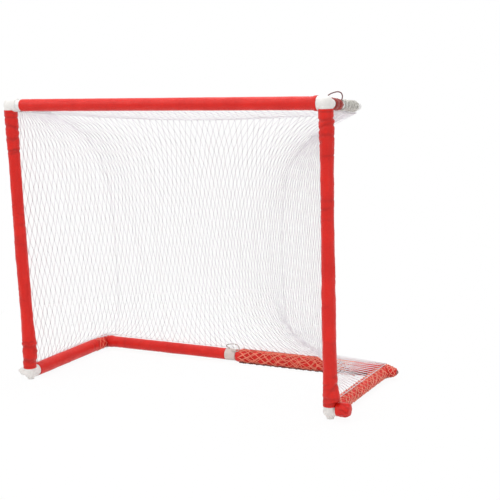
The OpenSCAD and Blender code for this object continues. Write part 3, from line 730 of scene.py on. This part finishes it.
def carve(obj, added, cutters):
    # joins the added solids to the piece, takes the cutters out of it, and removes both
    for other, operation in [(o, "UNION") for o in added] + [(o, "DIFFERENCE") for o in cutters]:
        modifier = obj.modifiers.new("carve", "BOOLEAN")
        modifier.operation = operation
        modifier.solver = "EXACT"
        modifier.object = other
    made = appliedMesh(obj)
    obj.modifiers.clear()
    obj.data = made
    for other in added + cutters:
        bpy.data.objects.remove(other)
    made.set_sharp_from_angle(angle=math.radians(50))


def rod(start, direction, radius, length):
    (d, u, v), sides = axes(direction), 48
    points = [aside(start + d * t, u, v, radius, a) for t in (0.0, length) for a in angles(sides)]
    faces = [[i, (i + 1) % sides, sides + (i + 1) % sides, sides + i] for i in range(sides)]
    faces += [list(range(sides))[::-1], list(range(sides, 2 * sides))]
    obj = addObject("rod", points, faces, paint["redCloth"], False)
    fixNormals(obj)
    return obj


cover = {
    "outer": 0.02735,
    "inner": 0.02628,
    "arm": 0.0263,
    "armEnd": 0.0276,
    "footHole": 0.016,
    "cone": [(0.0080, 0.0264), (0.0220, 0.0226), (0.0366, 0.0188), (0.0430, 0.0165),
             (0.0535, 0.0098)],
    "coneBore": [(0.0, 0.0174), (0.0401, 0.0174), (0.0541, 0.0082)],
    "lumps": 0.0007,
    "pleats": 9,
    "pleatDepth": 0.0006,
    "rows": 44,
    "sides": 56,
    "girth": 0.025,          # radius that the cloth's width is counted at
}


def alongRay(ball, cone, angle):
    # where a ray at this angle from the X axis leaves a ball joined to a cone's outline
    best = ball
    c, s = math.cos(angle), math.sin(angle)
    for (x0, r0), (x1, r1) in zip(cone, cone[1:]):
        below = c * (r1 - r0) - s * (x1 - x0)
        if abs(below) < 1e-12:
            continue
        k = (x0 * (r1 - r0) - r0 * (x1 - x0)) / below
        x = k * c
        if min(x0, x1) - 1e-9 <= x <= max(x0, x1) + 1e-9 and k > best:
            best = k
    return best


def raySolid(name, centre, side, ball, cone, seed):
    # a closed ball with a cone along X, lumpy where seed isn't None
    rows, end = cover["rows"], 0.03
    first = math.atan2(cone[-1][1], cone[-1][0]) if cone else end
    rings, uvs, seamsAndShade = [], [], []
    for k in range(rows + 1):
        angle = first + (math.pi - end - first) * (k / rows) ** 1.25
        ring = []
        for a in angles(cover["sides"]):
            way = Vector((side * math.cos(angle), math.sin(angle) * math.cos(a),
                          math.sin(angle) * math.sin(a)))
            r = alongRay(ball, cone, angle)
            pleat = 0.0
            if seed is not None:
                wave = math.sin(a * cover["pleats"] + 3 * wiggle(a, angle, 0, seed))
                pleat = cover["pleatDepth"] * wave * (r > 0.030)
                r += cover["lumps"] * 0.8 * wiggle(way.x * 2.5, way.y * 2.5, way.z * 2.5, seed)
                r = max(r + pleat, ball - 0.0003)
            ring.append(centre + way * r)
            # painted shade along the pleats, stronger where they are deeper
            seamsAndShade.append(min(1.0, abs(pleat) * 900))
        rings.append(ring)
        uvs.append((angle * 0.03, 2 * math.pi * cover["girth"]))
    return shellGrid(name, rings, uvs, seamsAndShade, paint["redCloth"], True)


def rearCover(side, word, seed):
    centre = place(side * half, depth, 0)
    cone, coneBore = (cover["cone"], cover["coneBore"]) if side > 0 else ([], [])
    obj = raySolid(word + "RearCover", centre, side, cover["outer"], cone, seed)
    rails = Vector((0, -1, 0)), Vector((-side, 0, 0))
    added = [rod(centre, way, cover["arm"], cover["armEnd"]) for way in rails]
    cutters = [raySolid("inside", centre, side, cover["inner"], coneBore, None)]
    cutters += [rod(centre, way, sleeves["bore"][0], 0.06) for way in rails]
    cutters.append(rod(centre, Vector((0, 0, -1)), cover["footHole"], 0.06))
    if not cone:
        cutters.append(rod(centre, Vector((side, 0, 0)), goal["outletRadius"] + 0.0003, 0.06))
    carve(obj, added, cutters)
    return finish(obj, "frame", "red_cloth", "rear_" + word + "_cover")


boot = {
    "from": 0.0270,
    "to": 0.0768,
    # each station's place, half width, half height and height of its middle
    "stations": [(0.0, 0.0250, 0.0252, 0.0082), (0.25, 0.0254, 0.0258, 0.0086),
                 (0.55, 0.0256, 0.0260, 0.0092), (0.80, 0.0246, 0.0246, 0.0094),
                 (0.93, 0.0212, 0.0206, 0.0092), (0.985, 0.0130, 0.0124, 0.0090),
                 (1.0, 0.0030, 0.0030, 0.0088)],
    "back": 0.0025,
    "wall": 0.0018,
    "lowest": -0.0279,
    "folds": 7,
    "foldDepth": 0.0011,
    "lumps": 0.0012,
    "rows": 34,
    "sides": 52,
    "girth": 0.025,
}


def stationAt(stations, t):
    for low, high in zip(stations, stations[1:]):
        if t <= high[0]:
            k = (t - low[0]) / (high[0] - low[0])
            if high[0] < 0.9:
                k = smoothStep(low[0], high[0], t)
            return [a + (b - a) * k for a, b in zip(low[1:], high[1:])]
    return list(stations[-1][1:])


def footBoot():
    # a drawn-up bag over the peg, with its mouth against the hub
    rows, wall, back = boot["rows"], boot["wall"], boot["back"]

    def share(k):
        return (k / rows) ** 0.8

    def at(k, a):
        t = share(k)
        wide, tall, up = stationAt(boot["stations"], t)
        x = boot["from"] + (boot["to"] - boot["from"]) * t
        x2 = min(x, boot["to"] - wall)
        wave = math.sin(a * boot["folds"] + 2.5 * wiggle(a * 0.6, t * 2, 0.4, 61) + 3 * t)
        fold = boot["foldDepth"] * wave
        fold *= smoothStep(0.0, 0.5, t) * (1 - smoothStep(0.9, 1.0, t))
        out = fold + boot["lumps"] * wiggleRound(a, 1.7, t * 4, 63)
        z = max(up + (tall + out) * math.sin(a), boot["lowest"])
        # the last value is painted shade in the folds' hollows
        return (place(half + x, back + (wide + out) * math.cos(a), z),
                place(half + x2, back + max(0.002, wide - wall) * math.cos(a),
                      up + max(0.002, tall - wall) * math.sin(a)),
                min(1.0, max(0.0, -fold) * 700))

    outer, inner, seamsAndShade = twoWalls(rows, boot["sides"], at)
    uvs = [(share(k) * 0.05, 2 * math.pi * boot["girth"]) for k in range(rows + 1)]
    # the shell runs from the closed end's middle outside, over the mouth, to its middle inside
    obj = shellGrid("rightFootBoot", outer[::-1] + inner, uvs[::-1] + uvs,
                    seamsAndShade[::-1] + [0.0] * len(seamsAndShade), paint["redCloth"], True)
    return finish(obj, "frame", "red_cloth", "right_foot_boot")


collar = {
    "from": 0.0471,
    "length": 0.072,
    "inner": 0.01365,
    "outline": [(0.0, 0.0182), (0.0030, 0.0196), (0.0086, 0.0214), (0.0216, 0.0212),
                (0.0300, 0.0172), (0.0360, 0.0172), (0.0450, 0.0204), (0.0576, 0.0198),
                (0.0680, 0.0168), (0.072, 0.0150)],
    "pleats": 11,
    "depth": 0.0016,
    "lumps": 0.0010,
    "thinnest": 0.0010,
    "rows": 40,
    "sides": 88,
    "girth": 0.018,
}


def armCollar(side, word):
    seed, hole, rows = 70 + side, collar["inner"], collar["rows"]

    def at(k, a):
        t = collar["length"] * k / rows
        twist = a + 9 * t + 0.5 * wiggleRound(a, 1, t * 30, seed)
        pleat = math.sin(collar["pleats"] * twist) * math.sin(4 * twist + 40 * t)
        r = profileAt(collar["outline"], t) + collar["depth"] * 0.6 * pleat - 0.0005
        r += collar["lumps"] * wiggleRound(a, 2, t * 60, seed + 2)
        walls = [armPoint(side, collar["from"] + t, q * math.cos(a), q * math.sin(a))
                 for q in (max(r, hole + collar["thinnest"]), hole)]
        # painted shade in the pleats' hollows
        return (*walls, min(1.0, max(0.0, -pleat)))

    outer, inner, seamsAndShade = twoWalls(rows, collar["sides"], at)
    girth = 2 * math.pi * collar["girth"]
    uvs = [(collar["length"] * k / rows, girth) for k in range(rows + 1)]
    obj = shellGrid(word + "ArmCollar", outer + inner[::-1], uvs + uvs[::-1],
                    seamsAndShade + [0.0] * len(seamsAndShade), paint["darkRedCloth"])
    return finish(obj, word + "_arm", "dark_red_cloth", word + "_arm_collar")


def makeSoftPieces():
    # each soft piece: the two rear covers, the boot and the two arm collars
    leftCover = rearCover(-1, "left", 81)
    rightCover = rearCover(1, "right", 83)
    footBoot()
    for side, word in bothSides:
        armCollar(side, word)


makeSoftPieces()
print("covers, boot and collars made")


net = {
    "radius": 0.02925,        # from a rail's axis to the net that lies on it
    "landing": 78.0,          # angle round a base rail where the net lands
    "underArm": 0.02275,
    "tieShare": 0.95,         # of an arm's reach, where the net is tied
    "waistDepth": 0.300,
    "waistDraw": 0.290,
    "lineSag": 0.025,
    "roofSag": 0.018,
    "roofInset": 0.0501,
    "roofFront": 0.0246,
    "roofLift": 0.0019,
    "flareTop": 0.10,
    "flareLow": 0.07,
    "flareMore": 0.10,
    "meshWide": 0.027,
    "meshTall": 0.084,
    "twine": 0.0022,
    "knot": 0.0024,
    "jitter": 0.35,           # a knot's wander, in meshes
    "slack": 0.0012,          # a strand's bow
}
netRadius, underArm = net["radius"], net["underArm"]
netOut = netRadius * math.cos(math.radians(net["landing"]))
netUp = netRadius * math.sin(math.radians(net["landing"]))
tieY = goal["armReach"] * math.cos(droop) * net["tieShare"]


def fade(q, k):
    return (math.exp(-q / k) - math.exp(-1 / k)) / (1 - math.exp(-1 / k))


def arch(s):
    return 1 - (2 * s - 1) ** 2


def armZ(y):
    return rise - y * math.tan(droop)


def waistY(x):
    return netRadius + net["waistDepth"] * (1 - (x / half) ** 2)


def hung(top, waist, low, t, w):
    a = fade(t, net["flareTop"] + net["flareMore"] * w)
    b = fade(1 - t, net["flareLow"] + net["flareMore"] * w)
    x, y = [waist[k] + (top[k] - waist[k]) * a + (low[k] - waist[k]) * b for k in (0, 1)]
    return x, y, top[2] + (low[2] - top[2]) * t


def sideNet(side, s, t):
    topY = netRadius + (tieY - netRadius) * s
    top = (side * half, topY, armZ(topY) - underArm)
    x = half - net["waistDraw"] * s
    low = (side * (half + netOut), netRadius + (depth + netOut - netRadius) * s, netUp)
    return hung(top, (side * x, waistY(x)), low, t, 0)


def backNet(s, t):
    top = (-half + 2 * half * s, tieY, armZ(tieY) - underArm - net["lineSag"] * arch(s))
    x = (-half + net["waistDraw"]) * (1 - 2 * s)
    low = ((-half - netOut) * (1 - 2 * s), depth + netOut, netUp)
    return hung(top, (x, waistY(x)), low, t, arch(s))


def roofNet(s, t):
    inset = net["roofInset"]
    front = (-half + inset + 2 * (half - inset) * s, net["roofFront"], rise)
    rearZ = armZ(tieY) - underArm - net["lineSag"] * arch(s) + net["roofLift"]
    rear = (-half + underArm + 2 * (half - underArm) * s, tieY, rearZ)
    p = [f + (r - f) * t for f, r in zip(front, rear)]
    p[2] -= net["roofSag"] * arch(t) * arch(s)
    return tuple(p)


def foldedSide(side):
    # the hung surface with the gentle upright folds of slack netting
    def surface(s, t):
        x, y, z = sideNet(side, s, t)
        w = math.sin(math.pi * t) * math.sin(math.pi * min(1, s))
        push = 0.006 * w * wiggle(s * 7, t * 2.2, side * 2.0, 3)
        return x - side * abs(push) * 0.6, y + push * 0.8, z
    return surface


def foldedBack(s, t):
    x, y, z = backNet(s, t)
    return x, y + 0.010 * math.sin(math.pi * t) * wiggle(s * 11, t * 2.0, 1.7, 8), z


def netTree(name):
    # strands from the mesh's edges, and a long knot on each point that is marked as one
    tree, given, result = newGroup(
        "Geometry", name,
        [("Geometry", "Geometry"), ("Twine Radius", "Float"), ("Twine Sides", "Int"),
         ("Knot Radius", "Float"), ("Material", "Material")],
        [("Geometry", "Geometry")])
    lines, size = given["Geometry"], given["Knot Radius"]
    curves = addNode(tree, "GeometryNodeMeshToCurve", lines).outputs[0]
    ring = addNode(tree, "GeometryNodeCurvePrimitiveCircle", Radius=given["Twine Radius"],
                   Resolution=given["Twine Sides"]).outputs[0]
    tube = addNode(tree, "GeometryNodeCurveToMesh", Curve=curves, Profile_Curve=ring)
    ball = addNode(tree, "GeometryNodeMeshIcoSphere", Subdivisions=2).outputs[0]
    marked = addNode(tree, "GeometryNodeInputNamedAttribute", data_type="FLOAT", Name="knot")
    test = addNode(tree, "FunctionNodeCompare", data_type="FLOAT", operation="GREATER_THAN",
                   A=marked.outputs["Attribute"], B=0.5)
    turn = addNode(tree, "GeometryNodeInputNamedAttribute", data_type="FLOAT_VECTOR", Name="turn")
    squeeze = addNode(tree, "ShaderNodeCombineXYZ", size, calc(tree, "MULTIPLY", size, 0.8),
                      calc(tree, "MULTIPLY", size, 1.45))
    knots = addNode(tree, "GeometryNodeInstanceOnPoints", Points=lines, Selection=test.outputs[0],
                    Instance=ball, Rotation=turn.outputs["Attribute"], Scale=squeeze.outputs[0])
    joined = addNode(tree, "GeometryNodeJoinGeometry")
    for part in (tube, knots):
        tree.links.new(part.outputs[0], joined.inputs[0])
    real = addNode(tree, "GeometryNodeRealizeInstances", joined.outputs[0])
    painted = addNode(tree, "GeometryNodeSetMaterial", real.outputs[0], Material=given["Material"])
    feed(tree, result["Geometry"], painted.outputs[0])
    return tree, {socket.name: socket.identifier for socket in tree.interface.items_tree
                  if socket.in_out == "INPUT"}


netNodes, netIds = netTree("knottedNet")


def strung(name, points, edges, knots, radius, knotRadius, mat, sides=5):
    # turns a mesh of strand lines into twine and knots
    mesh = bpy.data.meshes.new(name + "Lines")
    mesh.from_pydata(points, edges, [])
    flags = [0.0] * len(points)
    turns = [0.0] * (3 * len(points))
    for index, turn in knots.items():
        flags[index] = 1.0
        turns[3 * index:3 * index + 3] = turn
    mesh.attributes.new("knot", "FLOAT", "POINT").data.foreach_set("value", flags)
    mesh.attributes.new("turn", "FLOAT_VECTOR", "POINT").data.foreach_set("vector", turns)
    lines = addToScene(name + "Lines", mesh)
    modifier = lines.modifiers.new("net", "NODES")
    modifier.node_group = netNodes
    for label, value in (("Twine Radius", radius), ("Twine Sides", sides),
                         ("Knot Radius", knotRadius), ("Material", mat)):
        modifier[netIds[label]] = value
    made = appliedMesh(lines)
    bpy.data.objects.remove(lines)
    made.name = name
    return addToScene(name, made)


def lattice(name, surface, columns, rows, seed, jitter=net["jitter"], slack=net["slack"], inset=0.0,
            tube=False, twine=(net["twine"] / 2, net["knot"], paint["whiteTwine"]),
            edged=("low", "high", "first", "last"), halves=False):
    # diamond meshes over a surface(s, t): knots where column and row are both odd or both even
    points, edges, knots, index = [], [], {}, {}
    last = columns - 1 if tube else columns

    def onSurface(s, t):
        return place(*surface(s, t))

    def at(i, j):
        s = i / columns if tube else inset + (1 - 2 * inset) * i / columns
        t = j / rows
        if not (j in (0, rows) or (not tube and i in (0, columns))):
            s += jitter / columns * wiggle(i * 0.37, j * 0.61, 0.2, seed)
            t += jitter / rows * wiggle(i * 0.29, j * 0.53, 5.2, seed)
        return s, t

    for i in range(last + 1):
        for j in range(i % 2, rows + 1, 2):
            s, t = at(i, j)
            e = 0.004
            ds = onSurface(min(1, s + e), t) - onSurface(max(0, s - e), t)
            dt = onSurface(s, min(1, t + e)) - onSurface(s, max(0, t - e))
            n = ds.cross(dt)
            n = n.normalized() if n.length > 1e-12 else Vector((0, 0, 1))
            down = dt - n * dt.dot(n)
            down = down.normalized() if down.length > 1e-9 else Vector((0, 0, 1))
            index[i, j] = len(points)
            points.append(onSurface(s, t))
            knots[index[i, j]] = tuple(Matrix((down.cross(n), n, down)).transposed().to_euler())

    def strand(a, b, bow):
        pa, previous = points[a], a
        span = points[b] - pa
        for k in (1, 2):
            points.append(pa + span * (k / 3) + bow * (k / 3) * (1 - k / 3) * 4)
            edges.append((previous, len(points) - 1))
            previous = len(points) - 1
        edges.append((previous, b))

    rng = random.Random(seed)
    for i in range(last + 1):
        for j in range(i % 2, rows, 2):
            for k in (i - 1, i + 1):
                if tube:
                    k %= columns
                elif k < 0 or k > columns:
                    continue
                bow = Vector((rng.uniform(-1, 1), rng.uniform(-1, 1), rng.uniform(-1, 0.2))) * slack
                strand(index[i, j], index[k, j + 1], bow)
    hems = []
    if not tube:
        for j in [j for j, edge in ((0, "low"), (rows, "high")) if edge in edged]:
            hems += [((i + j % 2, j), (i + 2 + j % 2, j)) for i in range(0, columns - 1, 2)]
        for i in [i for i, edge in ((0, "first"), (columns, "last")) if edge in edged]:
            hems += [((i, j + i % 2), (i, j + 2 + i % 2)) for j in range(0, rows - 1, 2)]
    for a, b in hems:
        if a in index and b in index:
            strand(index[a], index[b], Vector())
    if not halves:
        return strung(name, points, edges, knots, *twine)
    made = []
    middle = place(0, 0, 0).x
    for side, word in bothSides:
        some = [e for e in edges
                if ((points[e[0]].x + points[e[1]].x) / 2 >= middle) == (side > 0)]
        ties = {k: turn for k, turn in knots.items() if (points[k].x >= middle) == (side > 0)}
        made.append(strung(word + name[0].upper() + name[1:], points, some, ties, *twine))
    return made


def meshRows(length, mesh):
    # an even number of half meshes
    return 2 * round(length / mesh)


def followArm(obj, word, node, still, other, corner):
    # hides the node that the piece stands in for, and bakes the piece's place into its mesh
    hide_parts(node)
    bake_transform(obj)


def makeNets():
    rows, roofRows = meshRows(1.03, net["meshTall"]), meshRows(0.265, net["meshTall"])
    across, deep = meshRows(1.32, net["meshWide"]), meshRows(0.53, net["meshWide"])
    backs = lattice("backNetting", foldedBack, across, rows, 5, inset=0.0018, edged=("low", "high"),
                    halves=True)
    roofs = lattice("topNetting", roofNet, across, roofRows, 31, edged=("low", "first", "last"),
                    halves=True)
    for (side, word), back, roof in zip(bothSides, backs, roofs):
        x, under = side * half, rise - 0.05
        tie = place(x, tieY, under)
        followArm(back, word, "back_net", place(0, tieY, under), place(x, tieY, 0.03), tie)
        followArm(roof, word, "top_net", place(0, tieY, rise), place(x, net["roofFront"], rise),
                  place(x, tieY, rise))
        obj = lattice(word + "Netting", foldedSide(side), deep, rows, 21 + side)
        followArm(obj, word, word + "_net", place(x, netRadius, rise - 0.03),
                  place(x, depth + netOut, 0.03), tie)


makeNets()
print("net hung")


# the net wound round the right side rail and the right half of the back rail
wraps = {
    # each layer's columns, mesh length, extra radius and twine radius
    "layers": [(16, 0.0380, 0.0, 0.0013), (12, 0.0460, 0.0006, 0.0014)],
    "sideRadius": 0.0262,
    "looseRadius": 0.0306,
    "lean": 0.0040,
    "low": -0.0270,
    "high": 0.0262,
    "knot": 1.35,            # a knot's radius over its twine's
    "looseFrom": 0.118,      # along the back rail from the rear corner
    "paleFrom": 0.125,
    "paleTo": 0.215,
    "sideFrom": 0.0451,      # along the side rail from the post
    "sideTo": 0.502,
    "tiesFrom": 0.452,
    "tiesTo": 0.503,
    "loopRoom": 0.024,       # beside the coupling
    "cone": (0.30, 1.15),    # first angle over the right corner's cover, and how far on it goes
    "coneOver": 0.0016,
    "coneTwine": (0.0014, 0.0020),
    "ties": (0.0285, 0.0, 10, 0.034, 0.0012),  # radius, lean, columns, mesh and twine at the left
    "jitter": 0.9,
    "slack": 0.0003,
}
# a dark cord along the wound net, which stands in for the shade under it: low on the rail, and
# higher and thicker where it gathers
hem = {
    "step": 0.0035,
    "wander": 0.0012,
    "knot": 1.45,
    # each stretch's start and end, how far it is forward and down of the rail's axis, and its twine
    "backWrapShadeCord": (0.030, 0.447, 0.0262, 0.0232, 0.0019),
    "gatheredShadeCord": (0.435, 0.600, 0.0360, 0.0105, 0.0034),
}


def makeWrap(name, start, end, radius, lean, columns, mesh, thick, seed, mat, node):
    d = (end - start).normalized()
    across = Vector((d.y, -d.x, 0))
    length = (end - start).length

    def surface(s, t):
        a = 2 * math.pi * s
        r = radius + 0.0006 * wiggleRound(a, 1, t * 30, seed)
        z = min(max(r * math.sin(a), wraps["low"]), wraps["high"])
        p = start + d * (t * length) + across * (r * math.cos(a) - lean) + Vector((0, 0, z))
        return tuple(p - shift)

    obj = lattice(name, surface, columns, meshRows(length, mesh), seed, wraps["jitter"],
                  wraps["slack"], tube=True, twine=(thick, thick * wraps["knot"], mat))
    finish(obj, "frame", "white_twine", node)


def makeShadeCord(name):
    low, high, forward, down, thick = hem[name]
    points, count, wander = [], int((high - low) / hem["step"]), hem["wander"]
    for k in range(count):
        x = low + (high - low) * k / (count - 1)
        points.append(place(x, depth - forward + wander * wiggle(x * 40, 0, 0, 3),
                            wander * math.sin(x * 210) - down))
    edges = [(k, k + 1) for k in range(count - 1)]
    knots = {k: (0.0, 1.57, 0.0) for k in range(2, count - 1, 3)}
    # the cord is painted near black-red as shade
    obj = strung(name, points, edges, knots, thick, hem["knot"] * thick, paint["hemTwine"], 8)
    finish(obj, "frame", "white_twine", "right_back_net_wrap")


def cornerTies():
    # the last meshes of the wound net over the right rear corner's cover, and the ties at the left
    centre, (low, turn) = Vector((half, depth, 0)), wraps["cone"]

    def overCone(s, t):
        angle = low + turn * t
        r = alongRay(cover["outer"], cover["cone"], angle) + wraps["coneOver"]
        a = 2 * math.pi * s
        return tuple(centre + Vector((r * math.cos(angle), r * math.sin(angle) * math.cos(a),
                                      r * math.sin(angle) * math.sin(a))))

    obj = lattice("rightCornerTies", overCone, 12, 8, 61, wraps["jitter"], wraps["slack"],
                  tube=True, twine=(*wraps["coneTwine"], paint["sideWrapTwine"]))
    finish(obj, "frame", "white_twine", "right_side_net_wrap")
    makeWrap("leftCornerTies", place(-half, wraps["tiesFrom"], 0), place(-half, wraps["tiesTo"], 0),
             *wraps["ties"], 63, paint["wrapTwine"], "left_net")


for layer, (columns, mesh, extra, thick) in enumerate(wraps["layers"]):
    loose, lean = wraps["looseRadius"] + extra, wraps["lean"]
    makeWrap("rightSideWrap%d" % layer, place(half, wraps["sideFrom"], 0),
             place(half, wraps["sideTo"], 0), wraps["sideRadius"] + extra, 0.0,
             columns - 4 - 2 * layer, 0.8 * mesh, thick, 51 + layer, paint["sideWrapTwine"],
             "right_side_net_wrap")
    makeWrap("rightBackWrap%d" % layer, place(half - wraps["looseFrom"], depth, 0),
             place(goal["couplingX"] + goal["couplingHalf"] + wraps["loopRoom"], depth, 0),
             loose, lean, columns, mesh, thick, 55 + layer, paint["wrapTwine"],
             "right_back_net_wrap")
    makeWrap("gatheredWrap%d" % layer, place(half - wraps["paleFrom"], depth, 0),
             place(half - wraps["paleTo"], depth, 0), loose + extra + 0.0006, lean, columns,
             0.6 * mesh, thick, 65 + layer, paint["paleWrapTwine"], "right_back_net_wrap")
cornerTies()
makeShadeCord("backWrapShadeCord")
makeShadeCord("gatheredShadeCord")
print("base wrapped")

# the netting that is bunched round each arm
lacing = {
    "from": 0.1345,
    "pitch": 0.0245,
    "ribs": 5,
    "strands": 7,            # round each rib
    "rounds": 40,            # points in one of them
    "core": 0.0168,
    "bundle": 0.0030,
    "lengthwise": 26,        # strands along the arm
    "beneath": (0.0147, 0.0030),  # their radius, and how much it swells at each rib
    "steps": 18,             # points for each rib in one of them
    "twine": 0.0012,
}


def armLacing(side, word):
    points, edges = [], []
    rng = random.Random(90 + side)
    rounds, ribs, bundle = lacing["rounds"], lacing["ribs"], lacing["bundle"]

    def addPoint(along, r, a):
        points.append(armPoint(side, along, r * math.cos(a), r * math.sin(a)))

    for rib in range(ribs):
        centre = lacing["from"] + lacing["pitch"] * (rib + 0.45)
        for strand in range(lacing["strands"]):
            phase = 2 * math.pi * strand / lacing["strands"] + rng.uniform(-0.3, 0.3)
            turns = rng.choice((2, 3))
            wide = rng.uniform(0.8, 2.2)
            first = len(points)
            for k, a in enumerate(angles(rounds)):
                q = phase + turns * a
                addPoint(centre + bundle * wide * math.cos(q) + 0.003 * math.cos(a + rib),
                         lacing["core"] + bundle * 0.8 * math.sin(q), a)
                edges.append((first + k, first + (k + 1) % rounds))
    count, span = lacing["steps"] * ribs, lacing["pitch"] * ribs
    beneath, swell = lacing["beneath"]
    for strand, a0 in enumerate(angles(lacing["lengthwise"])):
        a0 += rng.uniform(-0.1, 0.1)
        first = len(points)
        for k in range(count):
            t = k / (count - 1)
            wave = 0.5 - 0.5 * math.cos(2 * math.pi * ribs * t)
            addPoint(lacing["from"] + span * t, beneath + swell * wave,
                     a0 + 0.9 * math.sin(6 * t + strand))
            if k:
                edges.append((first + k - 1, first + k))
    # the right arm's lacing is painted with shade, and the left one is plain white
    obj = strung(word + "ArmLacing", points, edges, {}, lacing["twine"], 0.0,
                 paint["gatheredTwine" if side > 0 else "whiteTwine"])
    finish(obj, word + "_arm", "white_twine", word + "_arm_lacing")


for armSide, armWord in bothSides:
    armLacing(armSide, armWord)
print("arms laced")

# the cords' routes, the same as in the construction, in metres
cords = {
    "radius": 0.0020,
    "armLine": [0.282 - 0.0183, 0.141, 0.024],
    "archIn": [(0, 0.022, 0.0005), (0, 0.0195, 0.0045), (0, 0.018, 0.010), (0, 0.018, 0.0195)],
    "arch": [(0, 0.018, 0.020), (0, 0.0205, 0.024), (0, 0.030, 0.0263), (0.0005, 0.052, 0.0302),
             (0.0035, 0.084, 0.033), (0.007, 0.098, 0.032), (0.010, 0.109, 0.028),
             (0.012, 0.114, 0.020), (0.0127, 0.112, 0.013), (0.013, 0.106, 0.0047)],
    "loop": [(-0.009, 0, 0.002), (-0.016, -0.001, 0.0042), (-0.022, -0.003, 0.0085),
             (-0.021, -0.0045, 0.0145), (-0.012, -0.006, 0.0185), (0.004, -0.008, 0.0225),
             (0.020, -0.010, 0.0242), (0.034, -0.012, 0.0215), (0.042, -0.0135, 0.0145),
             (0.0435, -0.016, 0.005), (0.038, -0.019, -0.003), (0.024, -0.0205, -0.0055),
             (0.014, -0.0205, -0.0070)],
}


def smoothRoute(route):
    # a Catmull-Rom line through the route's points
    made, each = [], 8
    ends = [route[0] * 2 - route[1]] + list(route) + [route[-1] * 2 - route[-2]]
    for p0, p1, p2, p3 in zip(ends, ends[1:], ends[2:], ends[3:]):
        for k in range(each):
            t = k / each
            made.append(0.5 * ((2 * p1) + (p2 - p0) * t + (2 * p0 - 5 * p1 + 4 * p2 - p3) * t * t
                               + (3 * p1 - p0 - 3 * p2 + p3) * t ** 3))
    made.append(route[-1])
    return made


def cordTube(name, route, mat):
    rings, previous = [], None
    for k, p in enumerate(route):
        d = (route[min(k + 1, len(route) - 1)] - route[max(k - 1, 0)]).normalized()
        u = previous if previous else (Vector((1, 0, 0)) if abs(d.x) < 0.9 else Vector((0, 0, 1)))
        u = previous = (u - d * u.dot(d)).normalized()
        rings.append([aside(p, u, d.cross(u), cords["radius"], a) for a in angles(12)])
    uvs = [(k * 0.005, 0.0126) for k in range(len(rings))]
    return shellGrid(name, rings, uvs, [0.0] * (len(rings) * 12), mat, True)


def pathLength(route):
    return sum((b - a).length for a, b in zip(route, route[1:]))


def seenCord(name, points, node, colour):
    route = smoothRoute(points)
    obj, length = cordTube(name, route, paint[colour]), pathLength(route)
    print(name, "length", length)
    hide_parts(node)
    return obj


def makeCords():
    inside, over = [[place(half + x, y, rise + z) for x, y, z in cords[way]]
                    for way in ("archIn", "arch")]
    obj = cordTube("rightArmElastic", [armPoint(1, t) for t in cords["armLine"]] + inside,
                   paint["darkElastic"])
    finish(obj, "frame", "dark_elastic", "right_arm_elastic")
    obj = seenCord("cordArch", over, "right_arm_elastic", "darkElastic")
    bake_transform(obj)
    middle = Vector((goal["couplingX"], depth, goal["socketRadius"]))
    obj = seenCord("couplingLoop", [place(*(middle + Vector(p))) for p in cords["loop"]],
                   "coupling_loop", "paleElastic")
    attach(obj, "frame")


makeCords()
print("cords led")

# the endings of the kept nodes' names, and their paint
nodePaint = [
    ("_pipe", "pipePlastic"), ("_coupling", "couplingPlastic"), ("_elastic", "darkElastic"),
    ("rear_right_peg", "stainedPlastic"), ("_corner", "fittingPlastic"),
    ("_peg", "fittingPlastic"), ("_cap", "fittingPlastic"),
]
for nodeName, node in nodes.items():
    named = [paintName for ending, paintName in nodePaint if nodeName.endswith(ending)]
    if named:
        node.data.materials.clear()
        node.data.materials.append(paint[named[0]])
        node.data.polygons.foreach_set("material_index", [0] * len(node.data.polygons))
print("kept parts painted")
